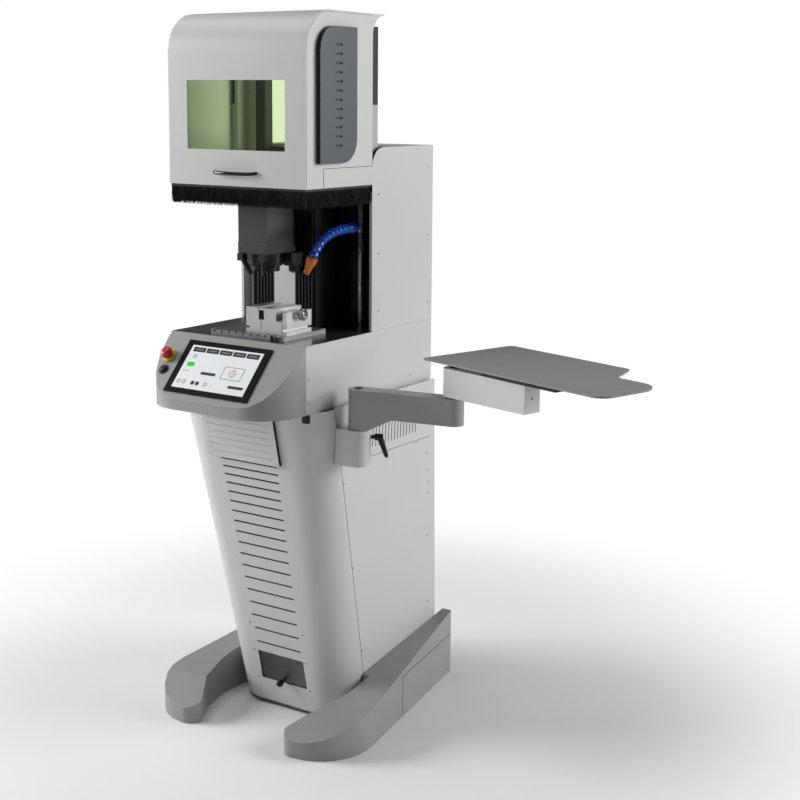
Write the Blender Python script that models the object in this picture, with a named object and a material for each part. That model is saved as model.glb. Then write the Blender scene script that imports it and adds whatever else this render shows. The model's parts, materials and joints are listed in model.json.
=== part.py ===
# Laser engraver on a pedestal, with a lifting hood, scan head, vise, slanted console and folding laptop arm
import bpy
import bmesh
from math import asin, atan2, ceil, cos, pi, radians, sin, sqrt, tan
from mathutils import Matrix, Vector

# Metres; Y grows to the rear from the hood's front plane, X to the machine's right, Z up from the floor
GAP = 0.0003
SHEET = 0.002
OVERRUN = 0.02
ARC_STEP = radians(18)
ROUND_SIDES = 24
SMALL_SIDES = 14
CREASE = radians(35)

# Upper body: console, column and hood share one width
BODY_HALF = 0.2115
BODY_REAR_Y = 0.557
TABLE_Z = 1.032
TABLE_THICKNESS = 0.008
CONSOLE_DEPTH = 0.167
LIP_Y = -0.130
LIP_DROP = 0.140
NOSE_CORNER = 0.110
NOSE_WALL = 0.003

# Pedestal: tapers downwards, its front and rear both lean to the rear going down
LEDGE_DROP = 0.162
PEDESTAL_HALF = 0.226
PEDESTAL_TAPER = 0.052
PEDESTAL_FRONT_Y = 0.0066
PEDESTAL_FRONT_LEAN = 0.2228
PEDESTAL_SEAM_Y = 0.096
PEDESTAL_SEAM_LEAN = 0.2438
PEDESTAL_REAR_Y = 0.5535
PEDESTAL_REAR_LEAN = 0.1065
PEDESTAL_CORNER = 0.088
PEDESTAL_BOTTOM_Z = 0.012
TOP_PLATE_THICKNESS = 0.004
REAR_PLATE_INSET = 0.001

# Base plate and feet
BASE_PLATE_THICKNESS = 0.0057
BASE_PLATE_MARGIN = 0.010
BASE_PLATE_EDGE = 0.001
FOOT_REAR_Y = 0.669
FOOT_REAR_X = 0.219
FOOT_SPLAY = 0.1737
FOOT_FRONT_Y = -0.024
FOOT_TOE_RADIUS = 0.135
FOOT_BROW_X = 0.158
FOOT_BROW_RADIUS = 0.030
FOOT_TIP_X = 0.137
FOOT_TIP_Y = 0.006
FOOT_TIP_RADIUS = 0.016
FOOT_HOOK_X = 0.187
FOOT_HOOK_Y = 0.086
FOOT_HOOK_RADIUS = 0.010
FOOT_INNER_X = 0.2105
FOOT_INNER_Y = 0.180
FOOT_INNER_RADIUS = 0.030
FOOT_STEP_Y = 0.275
FOOT_REAR_Z = 0.180
FOOT_MID_Y = 0.318
FOOT_MID_Z = 0.124
FOOT_TOE_Y = 0.075
FOOT_TOE_Z = 0.087
FOOT_FRONT_Z = 0.042
FOOT_MID_RADIUS = 0.30
FOOT_TOE_CREST = 0.10
FOOT_WALL = 0.004

# Pedestal front: slots, louvred filter cover and dust drawer
SLOT_COUNT = 18
SLOT_TOP_DROP = 0.159
SLOT_BOTTOM_Z = 0.189
SLOT_TOP_WIDTH = 0.181
SLOT_BOTTOM_WIDTH = 0.146
SLOT_HEIGHT = 0.0045
SLOT_EVENNESS_SHARE = 0.67
FILTER_LEFT_X = -0.124
FILTER_RIGHT_X = 0.105
FILTER_BOTTOM_DROP = 0.1525
FILTER_TOP_DROP = 0.010
FILTER_DEPTH = 0.009
FILTER_LOUVRES = 7
FILTER_LOUVRE_HEIGHT = 0.003
FILTER_LOUVRE_MARGIN = 0.018
WINDOW_HALF = 0.075
WINDOW_BOTTOM_Z = 0.078
WINDOW_TOP_Z = 0.161
DRAWER_SETBACK = 0.004
DRAWER_DEPTH = 0.200
DRAWER_WALL = 0.002
DRAWER_TRAVEL = 0.150
RUNNER_WALL = 0.003
RUNNER_HALF = 0.083
RUNNER_LIP = 0.020
RUNNER_HOLD = 0.021
RUNNER_REAR_Y = 0.480
KNOB_Z = 0.090
KNOB_RADIUS = 0.010
KNOB_REACH = 0.032
KNOB_STEM = 0.004
KNOB_STEPS = 6

# Pedestal sides and rear
VENT_COUNT = 15
VENT_FIRST_Y = 0.270
VENT_LAST_Y = 0.470
VENT_BOTTOM_DROP = 0.133
VENT_TOP_DROP = 0.070
VENT_WIDTH = 0.0038
REAR_VENT_COUNT = 9
REAR_VENT_WIDTH = 0.180
REAR_VENT_HEIGHT = 0.0038
REAR_VENT_PITCH = 0.014
REAR_VENT_DROP = 0.250
INLET_X = 0.090
INLET_Z = 0.280
INLET_WIDTH = 0.048
INLET_HEIGHT = 0.027
INLET_DEPTH = 0.022
INLET_FLANGE = 0.006
INLET_FLANGE_THICKNESS = 0.002
INLET_WALL = 0.002
PLUG_DEPTH = 0.015
SWITCH_WIDTH = 0.022
ROCKER_DEPTH = 0.005

# Equipment inside the pedestal
SHELF_Z = 0.450
SHELF_THICKNESS = 0.003
SHELF_FRONT_MARGIN = 0.010
SOURCE_WIDTH = 0.320
SOURCE_DEPTH = 0.280
SOURCE_HEIGHT = 0.130
EQUIPMENT_REAR_MARGIN = 0.030
SUPPLY_HALF = 0.110
SUPPLY_DEPTH = 0.090
SUPPLY_HEIGHT = 0.180
SUPPLY_REAR_MARGIN = 0.012

# Console: screen and buttons on the slanted face, measured up the slope from the lip
SCREEN_LEFT_X = -0.136
SCREEN_RIGHT_X = 0.126
SCREEN_BOTTOM = 0.0176
SCREEN_TOP = 0.1696
SCREEN_PROUD = 0.003
SCREEN_DEPTH = 0.018
SCREEN_RIM = 0.006
DISPLAY_WIDTH = 0.224
DISPLAY_HEIGHT = 0.124
DISPLAY_THICKNESS = 0.001
STOP_X = -0.1745
STOP_UP = 0.1161
STOP_COLLAR_RADIUS = 0.0185
STOP_COLLAR_HEIGHT = 0.006
STOP_STEM_RADIUS = 0.007
STOP_CAP_RADIUS = 0.0155
STOP_CAP_HEIGHT = 0.013
STOP_TRAVEL = 0.004
STOP_SHOULDER_SHARES = (0.35, 0.7)
START_X = -0.171
START_UP = 0.0764
START_CAP_RADIUS = 0.009
START_PROUD = 0.004
START_TRAVEL = 0.002
BUTTON_SLACK = 0.0005
BUTTON_RIM_SHARE = 0.85

# Column behind the work area
COLUMN_HEIGHT = 0.464
COLUMN_SIDE = 0.008
COLUMN_CORNER = 0.048
COLUMN_FRONT_Y = 0.2743
COLUMN_TOP_THICKNESS = 0.008
COLUMN_TOP_FRONT_Y = 0.332
BACK_PANEL_INSET = 0.042
BACK_PANEL_THICKNESS = 0.004
RAIL_TOP_DROP = 0.048
RAIL_WIDTH = 0.008
LIFT_INSET = 0.0215
LIFT_DEPTH = 0.020
LIFT_HEIGHT = 0.120
MOTOR_RADIUS = 0.035
MOTOR_LENGTH = 0.090

# Hood
HOOD_FRONT_Y = 0.0
HOOD_REAR_Y = 0.274
HOOD_TRAVEL = 0.3217
HOOD_CORNER = 0.095
HOOD_LIP_FLAT = 0.001
HOOD_LIP_THICKNESS = 0.003
WINDOW_X = 0.151
WINDOW_SILL = 0.087
WINDOW_HEIGHT = 0.166
GLASS_THICKNESS = 0.004
GLASS_MARGIN = 0.012
HANDLE_HALF = 0.0685
HANDLE_UP = 0.033
HANDLE_HEIGHT = 0.009
HANDLE_REACH = 0.020
HANDLE_BAR = 0.006
HANDLE_END = 0.012
INSET_FRONT_Y = 0.042
INSET_REAR_Y = 0.191
INSET_BOTTOM = 0.058
INSET_TOP = 0.380
INSET_RADIUS = 0.057
INSET_SQUARE = 0.004
INSET_THICKNESS = 0.012
INSET_SLOTS = 12
INSET_SLOT_WIDTH = 0.005
INSET_SLOT_LENGTH = 0.026
INSET_SLOT_PITCH = 0.0215
INSET_SLOT_DEPTH = 0.003
MAST_BOTTOM = 0.046
MAST_INNER_INSET = 0.0775
MAST_OUTER_INSET = 0.0115
MAST_FRONT_Y = 0.284
MAST_REAR_Y = 0.3135
MAST_ARM_INSET = 0.0215
MAST_ARM_FRONT_Y = 0.240
MAST_PAD_REAR_Y = 0.270
MAST_TOP_DROP = 0.030
BRUSH_LENGTH = 0.049
BRUSH_TABLE_GAP = 0.001
BRUSH_DEPTH = 0.006
BRUSH_BACK_HEIGHT = 0.022
BRUSH_BACK_SHOWN = 0.006
BRISTLE_PITCH = 0.0028
BRISTLE_SHARE = 0.62
BRISTLE_TIP_SHARE = 0.45
BRISTLE_RAGGED = 0.003
BRISTLE_SWAY = 0.0006
BRISTLE_SWAY_TURN = 2.4
BRISTLE_LENGTH_TURNS = (1.7, 0.9)

# Scan head on its vertical slide
SLIDE_HALF = 0.094
SLIDE_FRONT_Y = 0.190
SLIDE_HEIGHT = 0.408
SLIDE_FACE_HALF = 0.033
SLIDE_FINS = 6
SLIDE_FIN_DEPTH = 0.005
HEAD_HALF = 0.046
HEAD_FRONT_Y = 0.064
HEAD_REAR_Y = 0.170
HEAD_CLEARANCE = 0.203
HEAD_HEIGHT = 0.160
HEAD_BASE_HEIGHT = 0.027
HEAD_BASE_PROUD = 0.0015
CARRIAGE_HALF = 0.042
CARRIAGE_RISE = 0.015
CARRIAGE_TOP_DROP = 0.010
LENS_Y = 0.118
LENS_RADIUS = 0.040
LENS_NECK_RADIUS = 0.033
LENS_GLASS_RADIUS = 0.026
LENS_HEIGHT = 0.046
LENS_NECK = 0.014
LENS_RECESS = 0.004
POINTER_RADIUS = 0.0065
POINTER_LENGTH = 0.050
POINTER_X = 0.034
POINTER_BRACKET = 0.018

# Air hose of ball and socket links
HOSE_RADIUS = 0.0128
HOSE_WAIST_SHARE = 0.72
HOSE_BORE = 0.0045
HOSE_RIBS = 11
HOSE_SIDES = 12
HOSE_START_X = 0.155
HOSE_START_UP = 0.261
HOSE_FINISH_X = 0.127
HOSE_FINISH_Y = 0.140
HOSE_FINISH_UP = 0.196
HOSE_BEND_SHARE = 0.45
NOZZLE_LEAN_X = 0.40
NOZZLE_LEAN_Y = 0.12
NOZZLE_LENGTH = 0.044
NOZZLE_BASE_RADIUS = 0.0140
NOZZLE_WAIST_RADIUS = 0.0100
NOZZLE_TIP_RADIUS = 0.0078
NOZZLE_BASE = 0.012
SOCKET_RADIUS = 0.014
SOCKET_LENGTH = 0.010

# Slotted plate and vise on the table
PLATE_LEFT_X = -0.100
PLATE_RIGHT_X = 0.130
PLATE_FRONT_Y = 0.020
PLATE_REAR_Y = 0.1895
PLATE_THICKNESS = 0.012
PLATE_SLOTS = 10
PLATE_SLOT_WIDTH = 0.0038
PLATE_SLOT_DEPTH = 0.006
VISE_LEFT_X = 0.0
VISE_LENGTH = 0.126
VISE_FRONT_Y = 0.036
VISE_WIDTH = 0.100
VISE_BASE_HEIGHT = 0.034
VISE_FOOT_HEIGHT = 0.010
VISE_NECK_HEIGHT = 0.006
VISE_NECK_INSET = 0.012
JAW_THICKNESS = 0.040
JAW_HEIGHT = 0.029
JAW_STEP = 0.006
JAW_GAP = 0.016
MOVING_JAW_THICKNESS = 0.038
SCREW_HOUSING = 0.012
SCREW_RADIUS = 0.005
SCREW_UP = 0.014
SCREW_HOUSING_RISE = 0.008
SCREW_SLACK = 0.0005
JAW_BORE_SHARE = 0.6
WHEEL_RADIUS = 0.015
WHEEL_RIM = 0.0035
WHEEL_THICKNESS = 0.007
WHEEL_HUB = 0.007
WHEEL_OFFSET = 0.008
WHEEL_SPOKE = 0.0035

# Laptop arm on the right side
SHOULDER_X = 0.270
SHOULDER_Y = 0.1355
BRACKET_DROP = 0.144
BRACKET_HEIGHT = 0.0905
BRACKET_HALF = 0.031
PIN_RADIUS = 0.011
PIN_SLACK = 0.0004
PIN_SEAT = 0.030
ARM_WIDTH = 0.051
ARM_LIFT = 0.0005
ARM_HEIGHT = 0.100
ARM_HAUNCH_HEIGHT = 0.035
ARM_HAUNCH_LENGTH = 0.070
ARM_HAUNCH_RADIUS = 0.030
ARM_HAUNCH_FOOT = 0.006
LOWER_REACH = 0.250
LOWER_HEADING = radians(8.86)
UPPER_REACH = 0.252
UPPER_HEADING = radians(-14.6)
UPPER_WIDTH = 0.050
UPPER_LIFT = 0.005
UPPER_HEIGHT = 0.068
TRAY_PIVOT_REACH = 0.200
TRAY_PIVOT_ALONG = 0.2826
TRAY_PIVOT_BACK = 0.0394
TRAY_HEADING = radians(-17.4)
TRAY_LIFT = 0.014
TRAY_THICKNESS = 0.004
TRAY_WIDTH = 0.398
TRAY_DEPTH = 0.295
TRAY_LENGTH = 0.583
WING_DEPTH = 0.195
WING_START = 0.445
TRAY_CORNER = 0.012
TRAY_LOBE_RADIUS = 0.022
WING_FRONT_RADIUS = 0.035
WING_REAR_RADIUS = 0.060
NOTCH_RADIUS = 0.025
SWIVEL_LEFT = 0.085
SWIVEL_RIGHT = 0.155
SWIVEL_HALF = 0.030
TRAY_PIN_RADIUS = 0.008
TRAY_PIN_SEAT = 0.026
LEVER_HEADING = radians(28)
LEVER_TOP_DROP = 0.0195
LEVER_STEM_RADIUS = 0.005
LEVER_STEM_LENGTH = 0.009
LEVER_HUB_RADIUS = 0.0085
LEVER_HUB_LENGTH = 0.020
LEVER_DROP = 0.051
LEVER_SPREAD = 0.018
LEVER_ROOT_RADIUS = 0.0078
LEVER_TIP_RADIUS = 0.0054

# Heights that follow from the sizes above
consoleBottom = TABLE_Z - CONSOLE_DEPTH
lipHeight = TABLE_Z - LIP_DROP
ledge = TABLE_Z - LEDGE_DROP
columnTop = TABLE_Z + COLUMN_HEIGHT
slideTop = TABLE_Z + SLIDE_HEIGHT
headBottom = TABLE_Z + HEAD_CLEARANCE
headSeam = headBottom + HEAD_BASE_HEIGHT
headTop = headBottom + HEAD_HEIGHT
carriageBottom = headBottom + CARRIAGE_RISE
carriageTop = headTop - CARRIAGE_TOP_DROP
hoseStart = TABLE_Z + HOSE_START_UP
hoseFinish = TABLE_Z + HOSE_FINISH_UP
slotTop = ledge - SLOT_TOP_DROP
filterBottom = ledge - FILTER_BOTTOM_DROP
filterTop = ledge - FILTER_TOP_DROP
ventBottom = ledge - VENT_BOTTOM_DROP
ventTop = ledge - VENT_TOP_DROP
rearVentLow = ledge - REAR_VENT_DROP
bracketBottom = ledge - BRACKET_DROP
bracketTop = bracketBottom + BRACKET_HEIGHT
leverHeight = bracketTop - LEVER_TOP_DROP
hoodBottom = TABLE_Z + BRUSH_TABLE_GAP + HOOD_TRAVEL + BRUSH_LENGTH
hoodLipRadius = COLUMN_CORNER + GAP
hoodLipY = HOOD_REAR_Y + hoodLipRadius + HOOD_LIP_FLAT
hoodTop = columnTop + GAP + HOOD_LIP_THICKNESS + HOOD_TRAVEL
pedestalTop = consoleBottom - GAP
basePlateTop = PEDESTAL_BOTTOM_Z - GAP
basePlateBottom = basePlateTop - BASE_PLATE_THICKNESS
plateTop = TABLE_Z + GAP + PLATE_THICKNESS
workPoint = Vector((0.0, LENS_Y, plateTop + JAW_HEIGHT + VISE_BASE_HEIGHT))
nozzleHeading = Vector((-NOZZLE_LEAN_X, -NOZZLE_LEAN_Y, -1.0)).normalized()
armBottom = bracketTop + ARM_LIFT
armBeam = armBottom + ARM_HAUNCH_HEIGHT
armTop = armBottom + ARM_HEIGHT
upperBottom = armTop + UPPER_LIFT
upperTop = upperBottom + UPPER_HEIGHT
trayTop = upperTop + TRAY_LIFT

# Distances from the middle that follow the body's width
backPanelHalf = BODY_HALF - BACK_PANEL_INSET
liftHalf = BODY_HALF - LIFT_INSET
mastInner = BODY_HALF - MAST_INNER_INSET
mastOuter = BODY_HALF - MAST_OUTER_INSET
mastArmInner = BODY_HALF - MAST_ARM_INSET


def halfWidth(z):
    return PEDESTAL_HALF - (ledge - z) * PEDESTAL_TAPER


def frontFaceY(z):
    return PEDESTAL_FRONT_Y + (ledge - z) * PEDESTAL_FRONT_LEAN


def seamY(z):
    return PEDESTAL_SEAM_Y + (ledge - z) * PEDESTAL_SEAM_LEAN


def rearFaceY(z):
    return PEDESTAL_REAR_Y + (ledge - z) * PEDESTAL_REAR_LEAN


baseMiddleY = (frontFaceY(PEDESTAL_BOTTOM_Z) + rearFaceY(PEDESTAL_BOTTOM_Z)) / 2


# Scene, materials and frames
def clearScene():
    for thing in list(bpy.data.objects):
        bpy.data.objects.remove(thing)


def paint(name, colour, roughness, metallic=0.0, alpha=1.0):
    material = bpy.data.materials.new(name)
    material.use_nodes = True
    shader = material.node_tree.nodes["Principled BSDF"]
    shader.inputs["Base Color"].default_value = (*colour, 1.0)
    shader.inputs["Roughness"].default_value = roughness
    shader.inputs["Metallic"].default_value = metallic
    shader.inputs["Alpha"].default_value = alpha
    material.diffuse_color = (*colour, alpha)
    return material


def placeOf(empty):
    place = Matrix()
    while empty is not None and empty.parent is not None:
        place = empty.matrix_parent_inverse @ empty.matrix_basis @ place
        empty = empty.parent
    return place


def frame(name, at, parent, turn=(0.0, 0.0, 0.0)):
    empty = bpy.data.objects.new(name, None)
    bpy.context.scene.collection.objects.link(empty)
    empty.location = at
    empty.rotation_euler = turn
    if parent:
        empty.parent = parent
        empty.matrix_parent_inverse = placeOf(parent).inverted()
    return empty


def make(name, shape, material, parent, local=False):
    mesh = bpy.data.meshes.new(name)
    shape.to_mesh(mesh)
    shape.free()
    mesh.shade_smooth()
    mesh.set_sharp_from_angle(angle=CREASE)
    thing = bpy.data.objects.new(name, mesh)
    bpy.context.scene.collection.objects.link(thing)
    if material:
        mesh.materials.append(material)
    thing.parent = parent
    if not local:
        thing.matrix_parent_inverse = placeOf(parent).inverted()
    return thing


def hidden(name, shape, parent, local=False):
    cutter = make(name, shape, None, parent, local)
    cutter.hide_render = True
    cutter.display_type = "WIRE"
    return cutter


def combine(target, cutter, operation="DIFFERENCE"):
    step = target.modifiers.new(operation.lower(), "BOOLEAN")
    step.operation = operation
    step.object = cutter
    return target


# Shapes
def rounded(corners):
    points = []
    for index, (x, y, radius) in enumerate(corners):
        here = Vector((x, y))
        if not radius:
            points.append(here)
            continue
        before = Vector(corners[index - 1][:2])
        after = Vector(corners[(index + 1) % len(corners)][:2])
        back = (before - here).normalized()
        ahead = (after - here).normalized()
        half = back.angle(ahead) / 2
        centre = here + (back + ahead).normalized() * radius / sin(half)
        start = here + back * radius / tan(half) - centre
        end = here + ahead * radius / tan(half) - centre
        turn = atan2(start.x * end.y - start.y * end.x, start.dot(end))
        count = max(2, ceil(round(abs(turn) / ARC_STEP, 3)))
        for step in range(count + 1):
            angle = turn * step / count
            points.append(centre + Vector((start.x * cos(angle) - start.y * sin(angle),
                                           start.x * sin(angle) + start.y * cos(angle))))
    return points


def shrunk(corners, wall):
    # Corners run anticlockwise, and each edge moves inwards by the wall
    inner = []
    for index, (x, y, radius) in enumerate(corners):
        here = Vector((x, y))
        before = (here - Vector(corners[index - 1][:2])).normalized()
        after = (Vector(corners[(index + 1) % len(corners)][:2]) - here).normalized()
        firstInward = Vector((-before.y, before.x))
        nextInward = Vector((-after.y, after.x))
        moved = here + (firstInward + nextInward) * wall / (1 + firstInward.dot(nextInward))
        convex = before.x * after.y - before.y * after.x > 0
        newRadius = max(radius - wall, 0.0) if convex else radius + wall
        inner.append((moved.x, moved.y, newRadius if radius else 0.0))
    return inner


def rectangle(low, high, radius=0.0):
    return [(low[0], low[1], radius), (high[0], low[1], radius),
            (high[0], high[1], radius), (low[0], high[1], radius)]


def loft(rings, shape=None):
    shape = shape or bmesh.new()
    levels = [[shape.verts.new(point) for point in ring] for ring in rings]
    faces = [shape.faces.new(levels[0]), shape.faces.new(levels[-1])]
    for low, high in zip(levels, levels[1:]):
        for index in range(len(low)):
            following = (index + 1) % len(low)
            faces.append(shape.faces.new((low[index], low[following], high[following], high[index])))
    bmesh.ops.recalc_face_normals(shape, faces=faces)
    return shape


def prism(corners, axis, low, high, shape=None):
    place = "XYZ".index(axis)
    outline = rounded(corners)
    rings = [[(*point[:place], level, *point[place:]) for point in outline] for level in (low, high)]
    return loft(rings, shape)


def block(x, y, z, shape=None):
    return prism(rectangle((x[0], y[0]), (x[1], y[1])), "Z", z[0], z[1], shape)


def turned(profile, sides=ROUND_SIDES, at=(0.0, 0.0), ring=False, shape=None):
    # A profile of (radius, height) pairs turned about an upright axis; a ring's profile closes on itself
    shape = shape or bmesh.new()
    rows = []
    for radius, height in profile:
        rows.append([shape.verts.new((at[0] + radius * cos(2 * pi * side / sides),
                                      at[1] + radius * sin(2 * pi * side / sides), height))
                     for side in range(sides)])
    pairs = list(zip(rows, rows[1:]))
    faces = []
    if ring:
        pairs.append((rows[-1], rows[0]))
    else:
        faces = [shape.faces.new(rows[0]), shape.faces.new(rows[-1])]
    for low, high in pairs:
        for side in range(sides):
            following = (side + 1) % sides
            faces.append(shape.faces.new((low[side], low[following], high[following], high[side])))
    bmesh.ops.recalc_face_normals(shape, faces=faces)
    return shape


def disc(radius, low, high, sides=ROUND_SIDES, at=(0.0, 0.0), shape=None):
    return turned([(radius, low), (radius, high)], sides, at, shape=shape)


def swept(points, radii, bore, sides):
    # A tube with a bore along points, each ring square to the path and carried on without twist
    shape = bmesh.new()
    after = points[1:] + points[-1:]
    before = points[:1] + points[:-1]
    ahead = [(later - earlier).normalized() for later, earlier in zip(after, before)]
    across = ahead[0].orthogonal().normalized()
    outer = []
    inner = []
    for point, direction, radius in zip(points, ahead, radii):
        across = (across - direction * across.dot(direction)).normalized()
        side = direction.cross(across)
        spokes = [across * cos(2 * pi * k / sides) + side * sin(2 * pi * k / sides) for k in range(sides)]
        outer.append([shape.verts.new(point + spoke * radius) for spoke in spokes])
        inner.append([shape.verts.new(point + spoke * bore) for spoke in spokes])
    rows = outer + inner[::-1] + [outer[0]]
    for low, high in zip(rows, rows[1:]):
        for k in range(sides):
            following = (k + 1) % sides
            shape.faces.new((low[k], low[following], high[following], high[k]))
    bmesh.ops.recalc_face_normals(shape, faces=shape.faces)
    return shape


# Base and feet
def basePlate(machine, steel):
    # It fills the space between the feet and follows the pedestal's rounded front
    edge = halfWidth(FOOT_REAR_Z)
    half = halfWidth(PEDESTAL_BOTTOM_Z) - BASE_PLATE_EDGE
    front = frontFaceY(PEDESTAL_BOTTOM_Z) + BASE_PLATE_EDGE
    step = frontFaceY(PEDESTAL_BOTTOM_Z) + PEDESTAL_CORNER + BASE_PLATE_MARGIN
    rear = rearFaceY(PEDESTAL_BOTTOM_Z) - BASE_PLATE_MARGIN
    corner = PEDESTAL_CORNER - BASE_PLATE_EDGE
    plan = [(edge, rear, 0.0), (-edge, rear, 0.0), (-edge, step, 0.0), (-half, step, 0.0),
            (-half, front, corner), (half, front, corner), (half, step, 0.0), (edge, step, 0.0)]
    make("base_plate", prism(plan, "Z", basePlateBottom, basePlateTop), steel, machine)


def footOuterX(y):
    return FOOT_REAR_X + (FOOT_REAR_Y - y) * FOOT_SPLAY


def footPlan(side):
    rearInnerX = halfWidth(FOOT_REAR_Z) + GAP
    corners = [(rearInnerX, FOOT_REAR_Y, 0.0), (rearInnerX, FOOT_STEP_Y, 0.0), (FOOT_INNER_X, FOOT_STEP_Y, 0.0),
               (FOOT_INNER_X, FOOT_INNER_Y, FOOT_INNER_RADIUS), (FOOT_HOOK_X, FOOT_HOOK_Y, FOOT_HOOK_RADIUS),
               (FOOT_TIP_X, FOOT_TIP_Y, FOOT_TIP_RADIUS), (FOOT_BROW_X, FOOT_FRONT_Y, FOOT_BROW_RADIUS),
               (footOuterX(FOOT_FRONT_Y), FOOT_FRONT_Y, FOOT_TOE_RADIUS), (FOOT_REAR_X, FOOT_REAR_Y, 0.0)]
    if side < 0:
        corners = [(-x, y, radius) for x, y, radius in reversed(corners)]
    return corners


def footProfile(bottom, drop):
    # Side view of the foot as (Y, Z), the top lowered by drop for the hollow inside
    rise = (FOOT_REAR_Z - FOOT_MID_Z) / (FOOT_REAR_Y - FOOT_MID_Y)
    fall = (FOOT_TOE_Z - FOOT_FRONT_Z) / (FOOT_TOE_Y - FOOT_FRONT_Y)
    rear = FOOT_REAR_Y + OVERRUN
    front = FOOT_FRONT_Y - OVERRUN
    return [(front, bottom, 0.0), (rear, bottom, 0.0), (rear, FOOT_REAR_Z + OVERRUN * rise - drop, 0.0),
            (FOOT_MID_Y, FOOT_MID_Z - drop, FOOT_MID_RADIUS), (FOOT_TOE_Y, FOOT_TOE_Z - drop, FOOT_TOE_CREST),
            (front, FOOT_FRONT_Z - OVERRUN * fall - drop, 0.0)]


def feet(machine, paintwork):
    for side, word in ((1, "right"), (-1, "left")):
        plan = footPlan(side)
        name = "foot_" + word
        foot = make(name, prism(plan, "Z", 0.0, FOOT_REAR_Z + OVERRUN), paintwork, machine)
        near, far = sorted((side * OVERRUN, side * (footOuterX(FOOT_FRONT_Y) + OVERRUN)))
        profile = prism(footProfile(-OVERRUN, 0.0), "X", near, far)
        combine(foot, hidden(name + "_profile", profile, machine), "INTERSECT")
        core = prism(shrunk(plan, FOOT_WALL), "Z", -OVERRUN, FOOT_REAR_Z + OVERRUN)
        hollow = hidden(name + "_hollow", core, machine)
        roof = prism(footProfile(-OVERRUN - OVERRUN, FOOT_WALL), "X", near, far)
        combine(hollow, hidden(name + "_roof", roof, machine), "INTERSECT")
        combine(foot, hollow)


# Pedestal
def shellSection(z):
    outer = rounded([(-halfWidth(z), seamY(z) - GAP, 0.0), (-halfWidth(z), frontFaceY(z), PEDESTAL_CORNER),
                     (halfWidth(z), frontFaceY(z), PEDESTAL_CORNER), (halfWidth(z), seamY(z) - GAP, 0.0)])
    half = halfWidth(z) - SHEET
    front = frontFaceY(z) + SHEET
    radius = PEDESTAL_CORNER - SHEET
    inner = rounded([(-half, seamY(z) - GAP, 0.0), (-half, front, radius), (half, front, radius),
                     (half, seamY(z) - GAP, 0.0)])
    return [(x, y, z) for x, y in outer + inner[::-1]]


def onFront(z):
    # Distance up the leaning front face for a height
    return (z - slotTop) * sqrt(1 + PEDESTAL_FRONT_LEAN ** 2)


def frontSlots():
    shape = None
    for index in range(SLOT_COUNT):
        t = index / (SLOT_COUNT - 1)
        down = SLOT_EVENNESS_SHARE * t + (1 - SLOT_EVENNESS_SHARE) * t * t
        z = slotTop - (slotTop - SLOT_BOTTOM_Z) * down
        half = (SLOT_TOP_WIDTH + (SLOT_BOTTOM_WIDTH - SLOT_TOP_WIDTH) * t) / 2
        up = onFront(z)
        corners = rectangle((-half, up - SLOT_HEIGHT / 2), (half, up + SLOT_HEIGHT / 2), SLOT_HEIGHT / 2 - GAP)
        shape = prism(corners, "Z", -OVERRUN, OVERRUN, shape)
    return shape


def pedestalShell(machine, frontFace, paintwork):
    sheet = loft([shellSection(PEDESTAL_BOTTOM_Z), shellSection(pedestalTop)])
    shell = make("front_shell", sheet, paintwork, machine)
    combine(shell, hidden("front_slots", frontSlots(), frontFace, True))
    sill, lintel = onFront(WINDOW_BOTTOM_Z), onFront(WINDOW_TOP_Z)
    window = block((-WINDOW_HALF, WINDOW_HALF), (sill, lintel), (-OVERRUN, OVERRUN))
    combine(shell, hidden("drawer_window", window, frontFace, True))


def filterCover(frontFace, paintwork):
    low = onFront(filterBottom)
    high = onFront(filterTop)
    cover = make("filter_cover", block((FILTER_LEFT_X, FILTER_RIGHT_X), (low, high), (GAP, FILTER_DEPTH)),
                 paintwork, frontFace, True)
    shape = None
    for index in range(FILTER_LOUVRES):
        up = low + (high - low) * (index + 1) / (FILTER_LOUVRES + 1)
        tall = (up - FILTER_LOUVRE_HEIGHT / 2, up + FILTER_LOUVRE_HEIGHT / 2)
        shape = block((FILTER_LEFT_X + FILTER_LOUVRE_MARGIN, FILTER_RIGHT_X - FILTER_LOUVRE_MARGIN), tall,
                      (FILTER_DEPTH / 2, OVERRUN), shape)
    combine(cover, hidden("filter_louvres", shape, frontFace, True))


def sidePanel(side, name, machine, paintwork):
    corners = [(seamY, PEDESTAL_BOTTOM_Z), (rearFaceY, PEDESTAL_BOTTOM_Z), (rearFaceY, ledge),
               (seamY, ledge)]
    rings = [[(side * (halfWidth(z) - inset), edge(z), z) for edge, z in corners] for inset in (0.0, SHEET)]
    panel = make(name, loft(rings), paintwork, machine)
    vents = None
    pitch = (VENT_LAST_Y - VENT_FIRST_Y) / (VENT_COUNT - 1)
    reach = (PEDESTAL_HALF - OVERRUN * 2, PEDESTAL_HALF + OVERRUN)
    for index in range(VENT_COUNT):
        y = VENT_FIRST_Y + pitch * index
        corners = rectangle((y - VENT_WIDTH / 2, ventBottom), (y + VENT_WIDTH / 2, ventTop), 0.0)
        vents = prism(corners, "X", side * reach[0], side * reach[1], vents)
    combine(panel, hidden(name + "_vents", vents, machine))


def rearCorner(side, z, inset):
    return (side * (halfWidth(z) - SHEET - GAP), rearFaceY(z) - REAR_PLATE_INSET - inset, z)


def onRear(z):
    return (z - ledge) * sqrt(1 + PEDESTAL_REAR_LEAN ** 2)


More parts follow.
